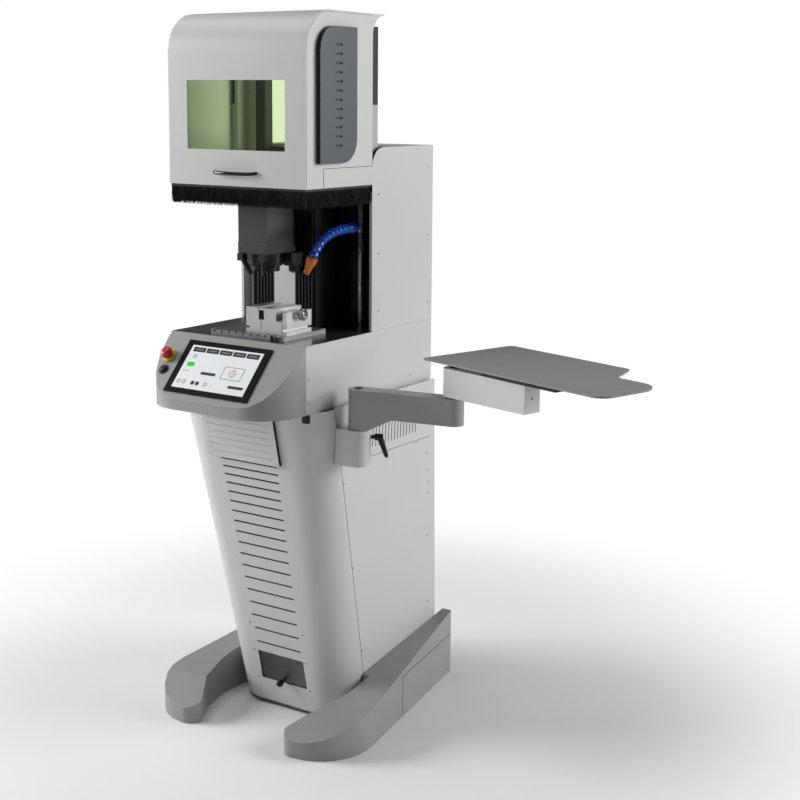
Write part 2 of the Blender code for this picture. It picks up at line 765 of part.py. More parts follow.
def rearPanel(machine, rearFace, paintwork):
    top = pedestalTop - TOP_PLATE_THICKNESS - GAP
    rings = [[rearCorner(-1, z, inset), rearCorner(1, z, inset), rearCorner(1, z, 0.0), rearCorner(-1, z, 0.0)]
             for z, inset in ((PEDESTAL_BOTTOM_Z, SHEET), (top, SHEET))]
    panel = make("rear_panel", loft(rings), paintwork, machine)
    holes = None
    for index in range(REAR_VENT_COUNT):
        up = onRear(rearVentLow) + REAR_VENT_PITCH * index
        tall = (up - REAR_VENT_HEIGHT / 2, up + REAR_VENT_HEIGHT / 2)
        holes = block((-REAR_VENT_WIDTH / 2, REAR_VENT_WIDTH / 2), tall, (-OVERRUN, OVERRUN), holes)
    up = onRear(INLET_Z)
    holes = block((INLET_X - INLET_WIDTH / 2 - SWITCH_WIDTH, INLET_X + INLET_WIDTH / 2),
                  (up - INLET_HEIGHT / 2, up + INLET_HEIGHT / 2), (-OVERRUN, OVERRUN), holes)
    combine(panel, hidden("rear_holes", holes, rearFace, True))


def steppedBox(x, y, width, height, depth, flange, proud):
    # A body through a panel with a flange resting on the panel's outer face, which lies at zero
    def ring(margin, level):
        across = width / 2 + margin
        up = height / 2 + margin
        return [(x - across, y - up, level), (x + across, y - up, level),
                (x + across, y + up, level), (x - across, y + up, level)]

    return loft([ring(-GAP, -depth), ring(-GAP, GAP), ring(flange, GAP), ring(flange, GAP + proud)])


def mainsInlet(rearFace, plastic):
    up = onRear(INLET_Z)
    width = INLET_WIDTH + SWITCH_WIDTH
    middle = INLET_X - SWITCH_WIDTH / 2
    inlet = make("power_inlet", steppedBox(middle, up, width, INLET_HEIGHT, INLET_DEPTH, INLET_FLANGE,
                                           INLET_FLANGE_THICKNESS), plastic, rearFace, True)
    half = (INLET_WIDTH / 2 - INLET_WALL, INLET_HEIGHT / 2 - INLET_WALL)
    tall = (up - half[1], up + half[1])
    mouth = block((INLET_X - half[0], INLET_X + half[0]), tall, (-PLUG_DEPTH, OVERRUN))
    switchX = INLET_X - (INLET_WIDTH + SWITCH_WIDTH) / 2
    half = (SWITCH_WIDTH / 2 - INLET_WALL, INLET_HEIGHT / 2 - INLET_WALL)
    mouth = block((switchX - half[0], switchX + half[0]), tall, (-PLUG_DEPTH, OVERRUN), mouth)
    combine(inlet, hidden("inlet_mouth", mouth, rearFace, True))
    pivot = frame("rocker_pivot", (switchX, up, -ROCKER_DEPTH), rearFace)
    pivot.matrix_parent_inverse = Matrix()
    width = half[0] - BUTTON_SLACK
    length = half[1] - BUTTON_SLACK * 2
    crown = ROCKER_DEPTH + INLET_FLANGE_THICKNESS
    outline = [(-length / 2, -ROCKER_DEPTH, 0.0), (length / 2, -ROCKER_DEPTH, 0.0),
               (length, crown + BUTTON_SLACK, 0.0), (0.0, crown - BUTTON_SLACK, 0.0),
               (-length, crown + BUTTON_SLACK, 0.0)]
    make("switch_rocker", prism(outline, "X", -width, width), plastic, pivot, True)


def pedestalInside(machine, steel, dark):
    top = pedestalTop - TOP_PLATE_THICKNESS
    edge = halfWidth(top) - SHEET - GAP
    front = frontFaceY(top) + SHEET + GAP
    rear = rearFaceY(pedestalTop) - REAR_PLATE_INSET
    inner = PEDESTAL_CORNER - SHEET - GAP
    corners = [(edge, rear, 0.0), (-edge, rear, 0.0), (-edge, front, inner), (edge, front, inner)]
    make("pedestal_top", prism(corners, "Z", top, pedestalTop), steel, machine)
    low = SHELF_Z - SHELF_THICKNESS
    edge = halfWidth(low) - SHEET - GAP
    front = seamY(low) + SHELF_FRONT_MARGIN
    rear = rearFaceY(SHELF_Z) - REAR_PLATE_INSET - SHEET - GAP
    make("equipment_shelf", block((-edge, edge), (front, rear), (low, SHELF_Z)), steel, machine)
    floor = SHELF_Z + GAP
    back = rearFaceY(SHELF_Z + SOURCE_HEIGHT) - EQUIPMENT_REAR_MARGIN
    make("laser_source", block((-SOURCE_WIDTH / 2, SOURCE_WIDTH / 2), (back - SOURCE_DEPTH, back),
                               (floor, floor + SOURCE_HEIGHT)), dark, machine)
    back = rearFaceY(SUPPLY_HEIGHT) - REAR_PLATE_INSET - SHEET - SUPPLY_REAR_MARGIN
    make("power_supply", block((-SUPPLY_HALF, SUPPLY_HALF), (back - SUPPLY_DEPTH, back),
                               (PEDESTAL_BOTTOM_Z, SUPPLY_HEIGHT)), steel, machine)


def dustDrawer(machine, drawerSlide, steel, plastic):
    # The front plate leans with the pedestal, the box behind it runs level on the runner
    low = WINDOW_BOTTOM_Z + SHEET * PEDESTAL_FRONT_LEAN + GAP
    high = WINDOW_TOP_Z - GAP
    half = WINDOW_HALF - GAP
    rear = frontFaceY(low) + DRAWER_SETBACK + DRAWER_DEPTH

    def face(z):
        return frontFaceY(z) + DRAWER_SETBACK

    outline = [(face(low), low, 0.0), (rear, low, 0.0), (rear, high, 0.0), (face(high), high, 0.0)]
    drawer = make("dust_drawer", prism(outline, "X", -half, half), steel, drawerSlide)
    far = rear - DRAWER_WALL
    over = high + OVERRUN
    inside = [(face(low) + DRAWER_WALL, low + DRAWER_WALL, 0.0), (far, low + DRAWER_WALL, 0.0),
              (far, over, 0.0), (face(over) + DRAWER_WALL, over, 0.0)]
    room = prism(inside, "X", DRAWER_WALL - half, half - DRAWER_WALL)
    combine(drawer, hidden("drawer_inside", room, drawerSlide))
    tilt = pi / 2 + atan2(PEDESTAL_FRONT_LEAN, 1.0)
    hub = frame("drawer_knob_axis", (0.0, face(KNOB_Z) - GAP, KNOB_Z), drawerSlide, (tilt, 0.0, 0.0))
    ball = KNOB_REACH - KNOB_RADIUS
    root = asin(KNOB_STEM / KNOB_RADIUS)
    turns = [root + (pi - root * 2) * step / KNOB_STEPS for step in range(KNOB_STEPS + 1)]
    profile = [(KNOB_STEM, 0.0)] + [(KNOB_RADIUS * sin(turn), ball - KNOB_RADIUS * cos(turn)) for turn in turns]
    make("drawer_knob", turned(profile, SMALL_SIDES), plastic, hub, True)
    floor = low - GAP - GAP
    legs = RUNNER_HALF
    inner = half + GAP * 2
    section = [(-legs, PEDESTAL_BOTTOM_Z, 0.0), (-legs + RUNNER_WALL, PEDESTAL_BOTTOM_Z, 0.0),
               (-legs + RUNNER_WALL, floor - RUNNER_WALL, 0.0), (legs - RUNNER_WALL, floor - RUNNER_WALL, 0.0),
               (legs - RUNNER_WALL, PEDESTAL_BOTTOM_Z, 0.0), (legs, PEDESTAL_BOTTOM_Z, 0.0),
               (legs, floor + RUNNER_LIP, 0.0), (inner, floor + RUNNER_LIP, 0.0), (inner, floor, 0.0),
               (-inner, floor, 0.0), (-inner, floor + RUNNER_LIP, 0.0), (-legs, floor + RUNNER_LIP, 0.0)]
    # The runner reaches forward far enough to hold the drawer when it is pulled out
    near = rear - DRAWER_TRAVEL - RUNNER_HOLD
    make("drawer_runner", prism(section, "Y", near, RUNNER_REAR_Y), steel, machine)


# Console
def consoleNose(machine, slant, paintwork):
    slope = (TABLE_Z - lipHeight) / -LIP_Y
    wide = BODY_HALF + OVERRUN

    def plan(wall, rear):
        half = BODY_HALF - wall
        front = LIP_Y + wall
        corner = NOSE_CORNER - wall
        return [(-half, front, corner), (half, front, corner), (half, rear, 0.0), (-half, rear, 0.0)]

    def side(wall, rear):
        drop = wall * sqrt(1 + slope ** 2)
        front = LIP_Y - OVERRUN
        return [(front, consoleBottom, 0.0), (rear, consoleBottom, 0.0),
                (rear, TABLE_Z + slope * rear - drop, 0.0), (front, lipHeight - slope * OVERRUN - drop, 0.0)]

    nose = make("console_nose", prism(plan(0.0, -GAP), "Z", consoleBottom, TABLE_Z), paintwork, machine)
    combine(nose, hidden("nose_profile", prism(side(0.0, OVERRUN), "X", -wide, wide), machine), "INTERSECT")
    core = prism(plan(NOSE_WALL, OVERRUN), "Z", consoleBottom + NOSE_WALL, TABLE_Z)
    hollow = hidden("nose_hollow", core, machine)
    roof = prism(side(NOSE_WALL, OVERRUN * 2), "X", -wide, wide)
    combine(hollow, hidden("nose_roof", roof, machine), "INTERSECT")
    combine(nose, hollow)
    holes = block((SCREEN_LEFT_X + SCREEN_RIM, SCREEN_RIGHT_X - SCREEN_RIM),
                  (SCREEN_BOTTOM + SCREEN_RIM, SCREEN_TOP - SCREEN_RIM), (-NOSE_WALL * 2, OVERRUN))
    for x, up, radius in ((STOP_X, STOP_UP, STOP_STEM_RADIUS), (START_X, START_UP, START_CAP_RADIUS)):
        holes = disc(radius + BUTTON_SLACK, -NOSE_WALL * 2, OVERRUN, SMALL_SIDES, (x, up), holes)
    combine(nose, hidden("slant_holes", holes, slant, True))


def consoleBody(machine, paintwork, tableTop):
    for side, word in ((1, "right"), (-1, "left")):
        span = sorted((side * (BODY_HALF - SHEET), side * BODY_HALF))
        wall = block(span, (GAP, BODY_REAR_Y), (consoleBottom, TABLE_Z))
        make("console_side_" + word, wall, paintwork, machine)
    edge = BODY_HALF - SHEET - GAP
    top = block((-edge, edge), (GAP, BODY_REAR_Y - SHEET - GAP), (TABLE_Z - TABLE_THICKNESS, TABLE_Z))
    make("work_table", top, tableTop, machine)


def screen(slant, plastic, glass):
    width = SCREEN_RIGHT_X - SCREEN_LEFT_X
    height = SCREEN_TOP - SCREEN_BOTTOM
    middle = ((SCREEN_LEFT_X + SCREEN_RIGHT_X) / 2, (SCREEN_TOP + SCREEN_BOTTOM) / 2)
    rim = SCREEN_RIM
    body = steppedBox(middle[0], middle[1], width - rim * 2, height - rim * 2, SCREEN_DEPTH, rim, SCREEN_PROUD)
    bezel = make("screen_bezel", body, plastic, slant, True)
    front = GAP + SCREEN_PROUD

    def panel(slack, low, high):
        across = DISPLAY_WIDTH / 2 + slack
        up = DISPLAY_HEIGHT / 2 + slack
        return block((middle[0] - across, middle[0] + across), (middle[1] - up, middle[1] + up), (low, high))

    combine(bezel, hidden("display_pocket", panel(GAP, front - DISPLAY_THICKNESS - GAP, OVERRUN), slant, True))
    make("display", panel(0.0, front - DISPLAY_THICKNESS, front), glass, slant, True)


def buttons(slant, yellow, red, plastic):
    bore = STOP_STEM_RADIUS + BUTTON_SLACK
    collar = [(bore, GAP), (STOP_COLLAR_RADIUS, GAP), (STOP_COLLAR_RADIUS, STOP_COLLAR_HEIGHT / 2),
              (STOP_COLLAR_RADIUS - STOP_COLLAR_HEIGHT / 2, STOP_COLLAR_HEIGHT), (bore, STOP_COLLAR_HEIGHT)]
    make("stop_collar", turned(collar, ROUND_SIDES, (STOP_X, STOP_UP), True), yellow, slant, True)
    base = STOP_COLLAR_HEIGHT + STOP_TRAVEL + GAP
    rim = STOP_CAP_RADIUS * BUTTON_RIM_SHARE
    stem = [(STOP_STEM_RADIUS, -NOSE_WALL), (STOP_STEM_RADIUS, base), (rim, base)]
    stem += [(STOP_CAP_RADIUS, base + STOP_CAP_HEIGHT * share) for share in STOP_SHOULDER_SHARES]
    stem.append((rim, base + STOP_CAP_HEIGHT))
    press = frame("stop_press", (STOP_X, STOP_UP, 0.0), slant)
    press.matrix_parent_inverse = Matrix()
    make("stop_button", turned(stem, ROUND_SIDES), red, press, True)
    press = frame("start_press", (START_X, START_UP, 0.0), slant)
    press.matrix_parent_inverse = Matrix()
    top = START_PROUD + START_TRAVEL
    cap = [(START_CAP_RADIUS, -NOSE_WALL), (START_CAP_RADIUS, top - GAP),
           (START_CAP_RADIUS * BUTTON_RIM_SHARE, top)]
    make("start_button", turned(cap), plastic, press, True)


# Column
def column(machine, paintwork, gloss, chrome, steel):
    base = TABLE_Z + GAP
    for side, word in ((1, "right"), (-1, "left")):
        outline = [(COLUMN_FRONT_Y, base, 0.0), (BODY_REAR_Y, base, 0.0), (BODY_REAR_Y, columnTop, 0.0),
                   (COLUMN_FRONT_Y, columnTop, COLUMN_CORNER)]
        inner = side * (BODY_HALF - COLUMN_SIDE)
        make("column_side_" + word, prism(outline, "X", inner, side * BODY_HALF), paintwork, machine)
        span = sorted((side * (backPanelHalf + GAP), side * (backPanelHalf + GAP + RAIL_WIDTH)))
        rail = block(span, (COLUMN_FRONT_Y, MAST_FRONT_Y - GAP), (base, columnTop - RAIL_TOP_DROP))
        make("hood_rail_" + word, rail, chrome, machine)
    depth = (COLUMN_FRONT_Y, COLUMN_FRONT_Y + BACK_PANEL_THICKNESS)
    panel = block((-backPanelHalf, backPanelHalf), depth, (base, columnTop - RAIL_TOP_DROP))
    make("back_panel", panel, gloss, machine)
    rearCover(machine, paintwork)
    near = MAST_REAR_Y + GAP
    plate = block((-liftHalf, liftHalf), (near, near + LIFT_DEPTH), (base, base + LIFT_HEIGHT))
    drive = make("lift_drive", plate, steel, machine)
    middle = (0.0, near + LIFT_DEPTH / 2, base + LIFT_HEIGHT / 2)
    hub = frame("motor_axis", middle, machine, (-pi / 2, 0.0, 0.0))
    motor = disc(MOTOR_RADIUS, 0.0, LIFT_DEPTH / 2 + MOTOR_LENGTH)
    combine(drive, hidden("lift_motor", motor, hub, True), "UNION")


def rearCover(machine, paintwork):
    # A T-shaped rear sheet, wider below the table, with the column's top plate folded forward from it
    upper = BODY_HALF - COLUMN_SIDE - GAP
    lower = BODY_HALF - SHEET - GAP
    fold = columnTop - COLUMN_TOP_THICKNESS / 2
    outline = [(-lower, consoleBottom, 0.0), (lower, consoleBottom, 0.0), (lower, TABLE_Z, 0.0),
               (upper, TABLE_Z, 0.0), (upper, fold, 0.0), (-upper, fold, 0.0), (-upper, TABLE_Z, 0.0),
               (-lower, TABLE_Z, 0.0)]
    cover = make("rear_cover", prism(outline, "Y", BODY_REAR_Y - SHEET, BODY_REAR_Y), paintwork, machine)
    height = (columnTop - COLUMN_TOP_THICKNESS, columnTop)
    top = block((-upper, upper), (COLUMN_TOP_FRONT_Y, BODY_REAR_Y), height)
    combine(cover, hidden("column_top", top, machine), "UNION")


# Hood
def hoodSide():
    # Side view of the hood as (Y, Z); its rear lip passes round the column's rounded top when it closes
    under = hoodTop - HOOD_LIP_THICKNESS
    return [(HOOD_FRONT_Y, hoodBottom, 0.0), (HOOD_REAR_Y, hoodBottom, 0.0),
            (HOOD_REAR_Y, under, hoodLipRadius), (hoodLipY, under, 0.0),
            (hoodLipY, hoodTop, 0.0), (HOOD_FRONT_Y, hoodTop, HOOD_CORNER)]


def sidePlates(hoodSlide, inlay):
    # A leaf-shaped plate stands on each side of the hood, with a column of shallow slots
    bottom = hoodBottom + INSET_BOTTOM
    top = hoodBottom + INSET_TOP
    outline = [(INSET_FRONT_Y, bottom, INSET_SQUARE), (INSET_REAR_Y, bottom, INSET_RADIUS),
               (INSET_REAR_Y, top, INSET_SQUARE), (INSET_FRONT_Y, top, INSET_RADIUS)]
    middle = ((INSET_FRONT_Y + INSET_REAR_Y) / 2, (bottom + top) / 2)
    near = BODY_HALF + GAP
    face = near + INSET_THICKNESS
    for side, word in ((1, "right"), (-1, "left")):
        plate = make("hood_inset_" + word, prism(outline, "X", side * near, side * face), inlay, hoodSlide)
        slots = None
        for index in range(INSET_SLOTS):
            z = middle[1] + (index - (INSET_SLOTS - 1) / 2) * INSET_SLOT_PITCH
            corners = rectangle((middle[0] - INSET_SLOT_LENGTH / 2, z - INSET_SLOT_WIDTH / 2),
                                (middle[0] + INSET_SLOT_LENGTH / 2, z + INSET_SLOT_WIDTH / 2))
            slots = prism(corners, "X", side * (face - INSET_SLOT_DEPTH), side * (face + OVERRUN), slots)
        combine(plate, hidden("hood_inset_slots_" + word, slots, hoodSlide))


def hood(hoodSlide, paintwork, inlay, glass, plastic, steel):
    shell = make("hood_shell", prism(hoodSide(), "X", -BODY_HALF, BODY_HALF), paintwork, hoodSlide)
    inner = BODY_HALF - SHEET
    far = hoodLipY + OVERRUN
    low = hoodBottom - OVERRUN
    outline = [(HOOD_FRONT_Y + SHEET, low, 0.0), (far, low, 0.0), (far, hoodTop - SHEET, 0.0),
               (HOOD_FRONT_Y + SHEET, hoodTop - SHEET, HOOD_CORNER - SHEET)]
    combine(shell, hidden("hood_inside", prism(outline, "X", -inner, inner), hoodSlide))
    sill = hoodBottom + WINDOW_SILL
    hole = block((-WINDOW_X, WINDOW_X), (-OVERRUN, OVERRUN), (sill, sill + WINDOW_HEIGHT))
    combine(shell, hidden("hood_opening", hole, hoodSlide))
    near = HOOD_FRONT_Y + SHEET + GAP
    pane = block((-WINDOW_X - GLASS_MARGIN, WINDOW_X + GLASS_MARGIN), (near, near + GLASS_THICKNESS),
                 (sill - GLASS_MARGIN, sill + WINDOW_HEIGHT + GLASS_MARGIN))
    make("hood_window", pane, glass, hoodSlide)
    sidePlates(hoodSlide, inlay)
    handle(hoodSlide, plastic)
    masts(hoodSlide, steel)


def handle(hoodSlide, plastic):
    foot = HOOD_FRONT_Y - GAP
    tip = foot - HANDLE_REACH
    inner = HANDLE_HALF - HANDLE_END
    shoulder = HANDLE_REACH - HANDLE_BAR
    grip = tip + HANDLE_BAR
    outline = [(-HANDLE_HALF, foot, 0.0), (-HANDLE_HALF, tip, shoulder), (HANDLE_HALF, tip, shoulder),
               (HANDLE_HALF, foot, 0.0), (inner, foot, 0.0), (inner, grip, HANDLE_BAR),
               (-inner, grip, HANDLE_BAR), (-inner, foot, 0.0)]
    low = hoodBottom + HANDLE_UP - HANDLE_HEIGHT / 2
    make("hood_handle", prism(outline, "Z", low, low + HANDLE_HEIGHT), plastic, hoodSlide)


def masts(hoodSlide, steel):
    # Each mast hangs behind the hood on a side arm and runs down into the column on its rail
    pad = BODY_HALF - SHEET - GAP
    for side, word in ((1, "right"), (-1, "left")):
        plan = [(mastInner, MAST_FRONT_Y), (mastArmInner, MAST_FRONT_Y),
                (mastArmInner, MAST_ARM_FRONT_Y), (pad, MAST_ARM_FRONT_Y), (pad, MAST_PAD_REAR_Y),
                (mastOuter, MAST_PAD_REAR_Y), (mastOuter, MAST_REAR_Y), (mastInner, MAST_REAR_Y)]
        corners = [(side * x, y, 0.0) for x, y in plan]
        mast = prism(corners, "Z", hoodBottom + MAST_BOTTOM, hoodTop - MAST_TOP_DROP)
        make("hood_mast_" + word, mast, steel, hoodSlide)


def brush(name, start, along, inward, length, parent, bristle):
    # A backing strip whose underside carries one tapering strand a pitch, all of one mesh
    shape = bmesh.new()
    top = hoodBottom - BRUSH_BACK_SHOWN + BRUSH_BACK_HEIGHT
    root = hoodBottom - BRUSH_BACK_SHOWN
    count = int(length / BRISTLE_PITCH)
    pitch = length / count
    marks = [0.0]
    for index in range(count):
        marks += [pitch * (index + (1 - BRISTLE_SHARE) / 2), pitch * (index + (1 + BRISTLE_SHARE) / 2)]
    marks.append(length)

    def spot(distance, depth, z):
        flat = start + along * distance + inward * depth
        return shape.verts.new((flat.x, flat.y, z))

    near = [spot(mark, 0.0, root) for mark in marks]
    far = [spot(mark, BRUSH_DEPTH, root) for mark in marks]
    upper = [spot(distance, depth, top) for distance, depth in
             ((0.0, 0.0), (length, 0.0), (length, BRUSH_DEPTH), (0.0, BRUSH_DEPTH))]
    shape.faces.new(upper)
    shape.faces.new(near[::-1] + upper[:2])
    shape.faces.new(far + [upper[2], upper[3]])
    shape.faces.new((near[0], upper[0], upper[3], far[0]))
    shape.faces.new((near[-1], far[-1], upper[2], upper[1]))
    for index in range(len(marks) - 1):
        if index % 2 == 0:
            shape.faces.new((near[index], near[index + 1], far[index + 1], far[index]))
            continue
        strand = index // 2
        middle = (marks[index] + marks[index + 1]) / 2 + BRISTLE_SWAY * sin(strand * BRISTLE_SWAY_TURN)
        half = pitch * BRISTLE_SHARE * BRISTLE_TIP_SHARE / 2
        turn = strand * BRISTLE_LENGTH_TURNS[0] + sin(strand * BRISTLE_LENGTH_TURNS[1])
        tip = hoodBottom - BRUSH_LENGTH + BRISTLE_RAGGED * (1 + sin(turn)) / 2
        outer = BRUSH_DEPTH * (1 - BRISTLE_TIP_SHARE) / 2
        inner = BRUSH_DEPTH - outer
        ends = [spot(middle + sign * half, depth, tip)
                for sign, depth in ((-1, outer), (1, outer), (1, inner), (-1, inner))]
        roots = [near[index], near[index + 1], far[index + 1], far[index]]
        for corner in range(4):
            following = (corner + 1) % 4
            shape.faces.new((roots[corner], roots[following], ends[following], ends[corner]))
        shape.faces.new(ends)
    bmesh.ops.recalc_face_normals(shape, faces=shape.faces)
    make(name, shape, bristle, parent)


def brushes(hoodSlide, bristle):
    near = HOOD_FRONT_Y + SHEET + GAP
    edge = BODY_HALF - SHEET - GAP
    ahead = Vector((0.0, 1.0))
    across = Vector((1.0, 0.0))
    brush("brush_front", Vector((-edge, near)), across, ahead, edge * 2, hoodSlide, bristle)
    start = near + BRUSH_DEPTH + GAP
    length = HOOD_REAR_Y - start - GAP
    for side, word in ((1, "right"), (-1, "left")):
        brush("brush_" + word, Vector((side * edge, start)), ahead, across * -side, length, hoodSlide, bristle)


# Scan head
def headSlide(machine, dark):
    fins = []
    step = (SLIDE_HALF - SLIDE_FACE_HALF) / (SLIDE_FINS * 2)
    for index in range(SLIDE_FINS * 2):
        depth = SLIDE_FIN_DEPTH if index % 2 else 0.0
        x = SLIDE_FACE_HALF + step * index
        fins += [(x, SLIDE_FRONT_Y + depth, 0.0), (x + step, SLIDE_FRONT_Y + depth, 0.0)]
    left = [(-x, y, r) for x, y, r in reversed(fins)]
    rear = COLUMN_FRONT_Y - GAP
    outline = left + fins + [(SLIDE_HALF, rear, 0.0), (-SLIDE_HALF, rear, 0.0)]
    make("slide_column", prism(outline, "Z", TABLE_Z + GAP, slideTop), dark, machine)


def scanHead(headLift, dark, plastic):
    carriage = block((-CARRIAGE_HALF, CARRIAGE_HALF), (HEAD_REAR_Y + GAP, SLIDE_FRONT_Y - GAP),
                     (carriageBottom, carriageTop))
    make("head_carriage", carriage, plastic, headLift)
    step = HEAD_FRONT_Y - HEAD_BASE_PROUD
    section = [(step, headBottom, 0.0), (HEAD_REAR_Y, headBottom, 0.0), (HEAD_REAR_Y, headTop, 0.0),
               (HEAD_FRONT_Y, headTop, 0.0), (HEAD_FRONT_Y, headSeam, 0.0), (step, headSeam, 0.0)]
    make("scan_head", prism(section, "X", -HEAD_HALF, HEAD_HALF), dark, headLift)
    top = headBottom - GAP
    low = top - LENS_HEIGHT
    profile = [(LENS_GLASS_RADIUS, low + LENS_RECESS), (LENS_GLASS_RADIUS, low), (LENS_NECK_RADIUS, low),
               (LENS_NECK_RADIUS, low + LENS_NECK), (LENS_RADIUS, low + LENS_NECK), (LENS_RADIUS, top)]
    make("scan_lens", turned(profile, ROUND_SIDES, (0.0, LENS_Y)), plastic, headLift)
    for side, word in ((1, "right"), (-1, "left")):
        pointer(side, word, top, headLift, plastic)


def pointer(side, word, top, headLift, plastic):
    # A block under the head with an aiming lamp that leans towards the work
    x = side * POINTER_X
    half = POINTER_BRACKET / 2
    front = HEAD_FRONT_Y
    low = top - POINTER_BRACKET
    holder = block((x - half, x + half), (front - half, front + half), (low, top))
    lamp = make("pointer_" + word, holder, plastic, headLift)
    start = Vector((x, front - half + POINTER_RADIUS, top - half))
    aim = workPoint - start
    axis = frame("pointer_axis_" + word, start, headLift, aim.to_track_quat("Z", "Y").to_euler())
    barrel = disc(POINTER_RADIUS, 0.0, POINTER_LENGTH, SMALL_SIDES)
    combine(lamp, hidden("pointer_barrel_" + word, barrel, axis, True), "UNION")


# Air hose
def hosePath():
    start = Vector((HOSE_START_X, COLUMN_FRONT_Y - GAP - SOCKET_LENGTH, hoseStart))
    finish = Vector((HOSE_FINISH_X, HOSE_FINISH_Y, hoseFinish))
    out = Vector((0.0, -1.0, 0.0))
    ahead = nozzleHeading
    bend = (finish - start).length * HOSE_BEND_SHARE
    curve = [start, start + out * bend, finish - ahead * bend, finish]

    def at(t):
        u = 1 - t
        return curve[0] * u ** 3 + curve[1] * 3 * u * u * t + curve[2] * 3 * u * t * t + curve[3] * t ** 3

    return at, ahead


def airHose(machine, blue, orange):
    at, ahead = hosePath()
    count = HOSE_RIBS * 2
    points = [at(0.0) - Vector((0.0, -1.0, 0.0)) * SOCKET_LENGTH]
    points += [at(index / count) for index in range(count + 1)]
    waist = HOSE_RADIUS * HOSE_WAIST_SHARE
    radii = [SOCKET_RADIUS, SOCKET_RADIUS]
    radii += [HOSE_RADIUS if index % 2 else waist for index in range(1, count + 1)]
    make("air_hose", swept(points, radii, HOSE_BORE, HOSE_SIDES), blue, machine)
    axis = frame("nozzle_axis", at(1.0) + ahead * GAP * 2, machine, ahead.to_track_quat("Z", "Y").to_euler())
    profile = [(HOSE_BORE, 0.0), (NOZZLE_BASE_RADIUS, 0.0), (NOZZLE_BASE_RADIUS, NOZZLE_BASE),
               (NOZZLE_WAIST_RADIUS, NOZZLE_BASE * 2), (NOZZLE_TIP_RADIUS, NOZZLE_LENGTH),
               (HOSE_BORE, NOZZLE_LENGTH)]
    make("hose_nozzle", turned(profile, ROUND_SIDES, ring=True), orange, axis, True)


# Slotted plate and vise
def slottedPlate(machine, steel):
    low = TABLE_Z + GAP
    pitch = (PLATE_RIGHT_X - PLATE_LEFT_X) / PLATE_SLOTS
    top = []
    for index in range(PLATE_SLOTS):
        near = PLATE_LEFT_X + pitch * (index + 1 / 2) - PLATE_SLOT_WIDTH / 2
        far = near + PLATE_SLOT_WIDTH
        floor = plateTop - PLATE_SLOT_DEPTH
        top += [(near, plateTop), (near, floor), (far, floor), (far, plateTop)]
    outline = [(PLATE_LEFT_X, low), (PLATE_LEFT_X, plateTop), *top,
               (PLATE_RIGHT_X, plateTop), (PLATE_RIGHT_X, low)]
    plate = prism([(x, z, 0.0) for x, z in outline], "Y", PLATE_FRONT_Y, PLATE_REAR_Y)
    make("slotted_plate", plate, steel, machine)


def vise(machine, jawSlide, screwTurn, steel, chrome):
    low = plateTop + GAP
    bed = low + VISE_BASE_HEIGHT
    right = VISE_LEFT_X + VISE_LENGTH
    span = (VISE_FRONT_Y, VISE_FRONT_Y + VISE_WIDTH)
    top = bed + JAW_HEIGHT
    lug = bed + SCREW_UP + SCREW_HOUSING_RISE
    fixed = VISE_LEFT_X + JAW_THICKNESS
    foot = low + VISE_FOOT_HEIGHT
    neck = foot + VISE_NECK_HEIGHT
    # The base is waisted between its foot and its bed, and the fixed jaw has a step for thin work
    outline = [(VISE_LEFT_X, low), (right, low), (right, foot), (right - VISE_NECK_INSET, foot),
               (right - VISE_NECK_INSET, neck), (right, neck), (right, lug), (right - SCREW_HOUSING, lug),
               (right - SCREW_HOUSING, bed), (fixed, bed), (fixed, top - JAW_STEP),
               (fixed - JAW_STEP, top - JAW_STEP), (fixed - JAW_STEP, top), (VISE_LEFT_X, top),
               (VISE_LEFT_X, neck), (VISE_LEFT_X + VISE_NECK_INSET, neck),
               (VISE_LEFT_X + VISE_NECK_INSET, foot), (VISE_LEFT_X, foot)]
    section = [(x, z, 0.0) for x, z in outline]
    base = make("vise_base", prism(section, "Y", span[0], span[1]), steel, machine)
    blind = VISE_LEFT_X + JAW_THICKNESS * JAW_BORE_SHARE
    bore = disc(SCREW_RADIUS + SCREW_SLACK, blind, right + OVERRUN, SMALL_SIDES)
    combine(base, hidden("vise_base_bore", bore, screwTurn, True))
    near = VISE_LEFT_X + JAW_THICKNESS + JAW_GAP
    far = near + MOVING_JAW_THICKNESS
    step = top - JAW_STEP + GAP
    lip = near - JAW_STEP + GAP
    section = [(near, bed + GAP, 0.0), (far, bed + GAP, 0.0), (far, top, 0.0), (lip, top, 0.0),
               (lip, step, 0.0), (near, step, 0.0)]
    jaw = make("vise_jaw", prism(section, "Y", span[0], span[1]), steel, jawSlide)
    bore = disc(SCREW_RADIUS + SCREW_SLACK, 0.0, right + OVERRUN, SMALL_SIDES)
    combine(jaw, hidden("vise_jaw_bore", bore, screwTurn, True))
    start = blind + GAP
    wheel = right + WHEEL_OFFSET
    far = wheel + WHEEL_THICKNESS
    hub = [(SCREW_RADIUS, start), (SCREW_RADIUS, right + GAP), (WHEEL_HUB, right + GAP), (WHEEL_HUB, far)]
    screw = make("vise_screw", turned(hub, SMALL_SIDES), chrome, screwTurn, True)
    rim = WHEEL_RADIUS - WHEEL_RIM
    ring = turned([(rim, wheel), (WHEEL_RADIUS, wheel), (WHEEL_RADIUS, far), (rim, far)], ring=True)
    spoke = WHEEL_SPOKE / 2
    inside = (wheel + spoke / 2, far - spoke / 2)
    reach = WHEEL_RADIUS - WHEEL_RIM / 2
    combine(screw, hidden("wheel_rim", ring, screwTurn, True), "UNION")
    upright = block((-spoke, spoke), (-reach, reach), inside)
    level = block((-reach, reach), (-spoke, spoke), inside)
    combine(screw, hidden("wheel_spoke_upright", upright, screwTurn, True), "UNION")
    combine(screw, hidden("wheel_spoke_level", level, screwTurn, True), "UNION")


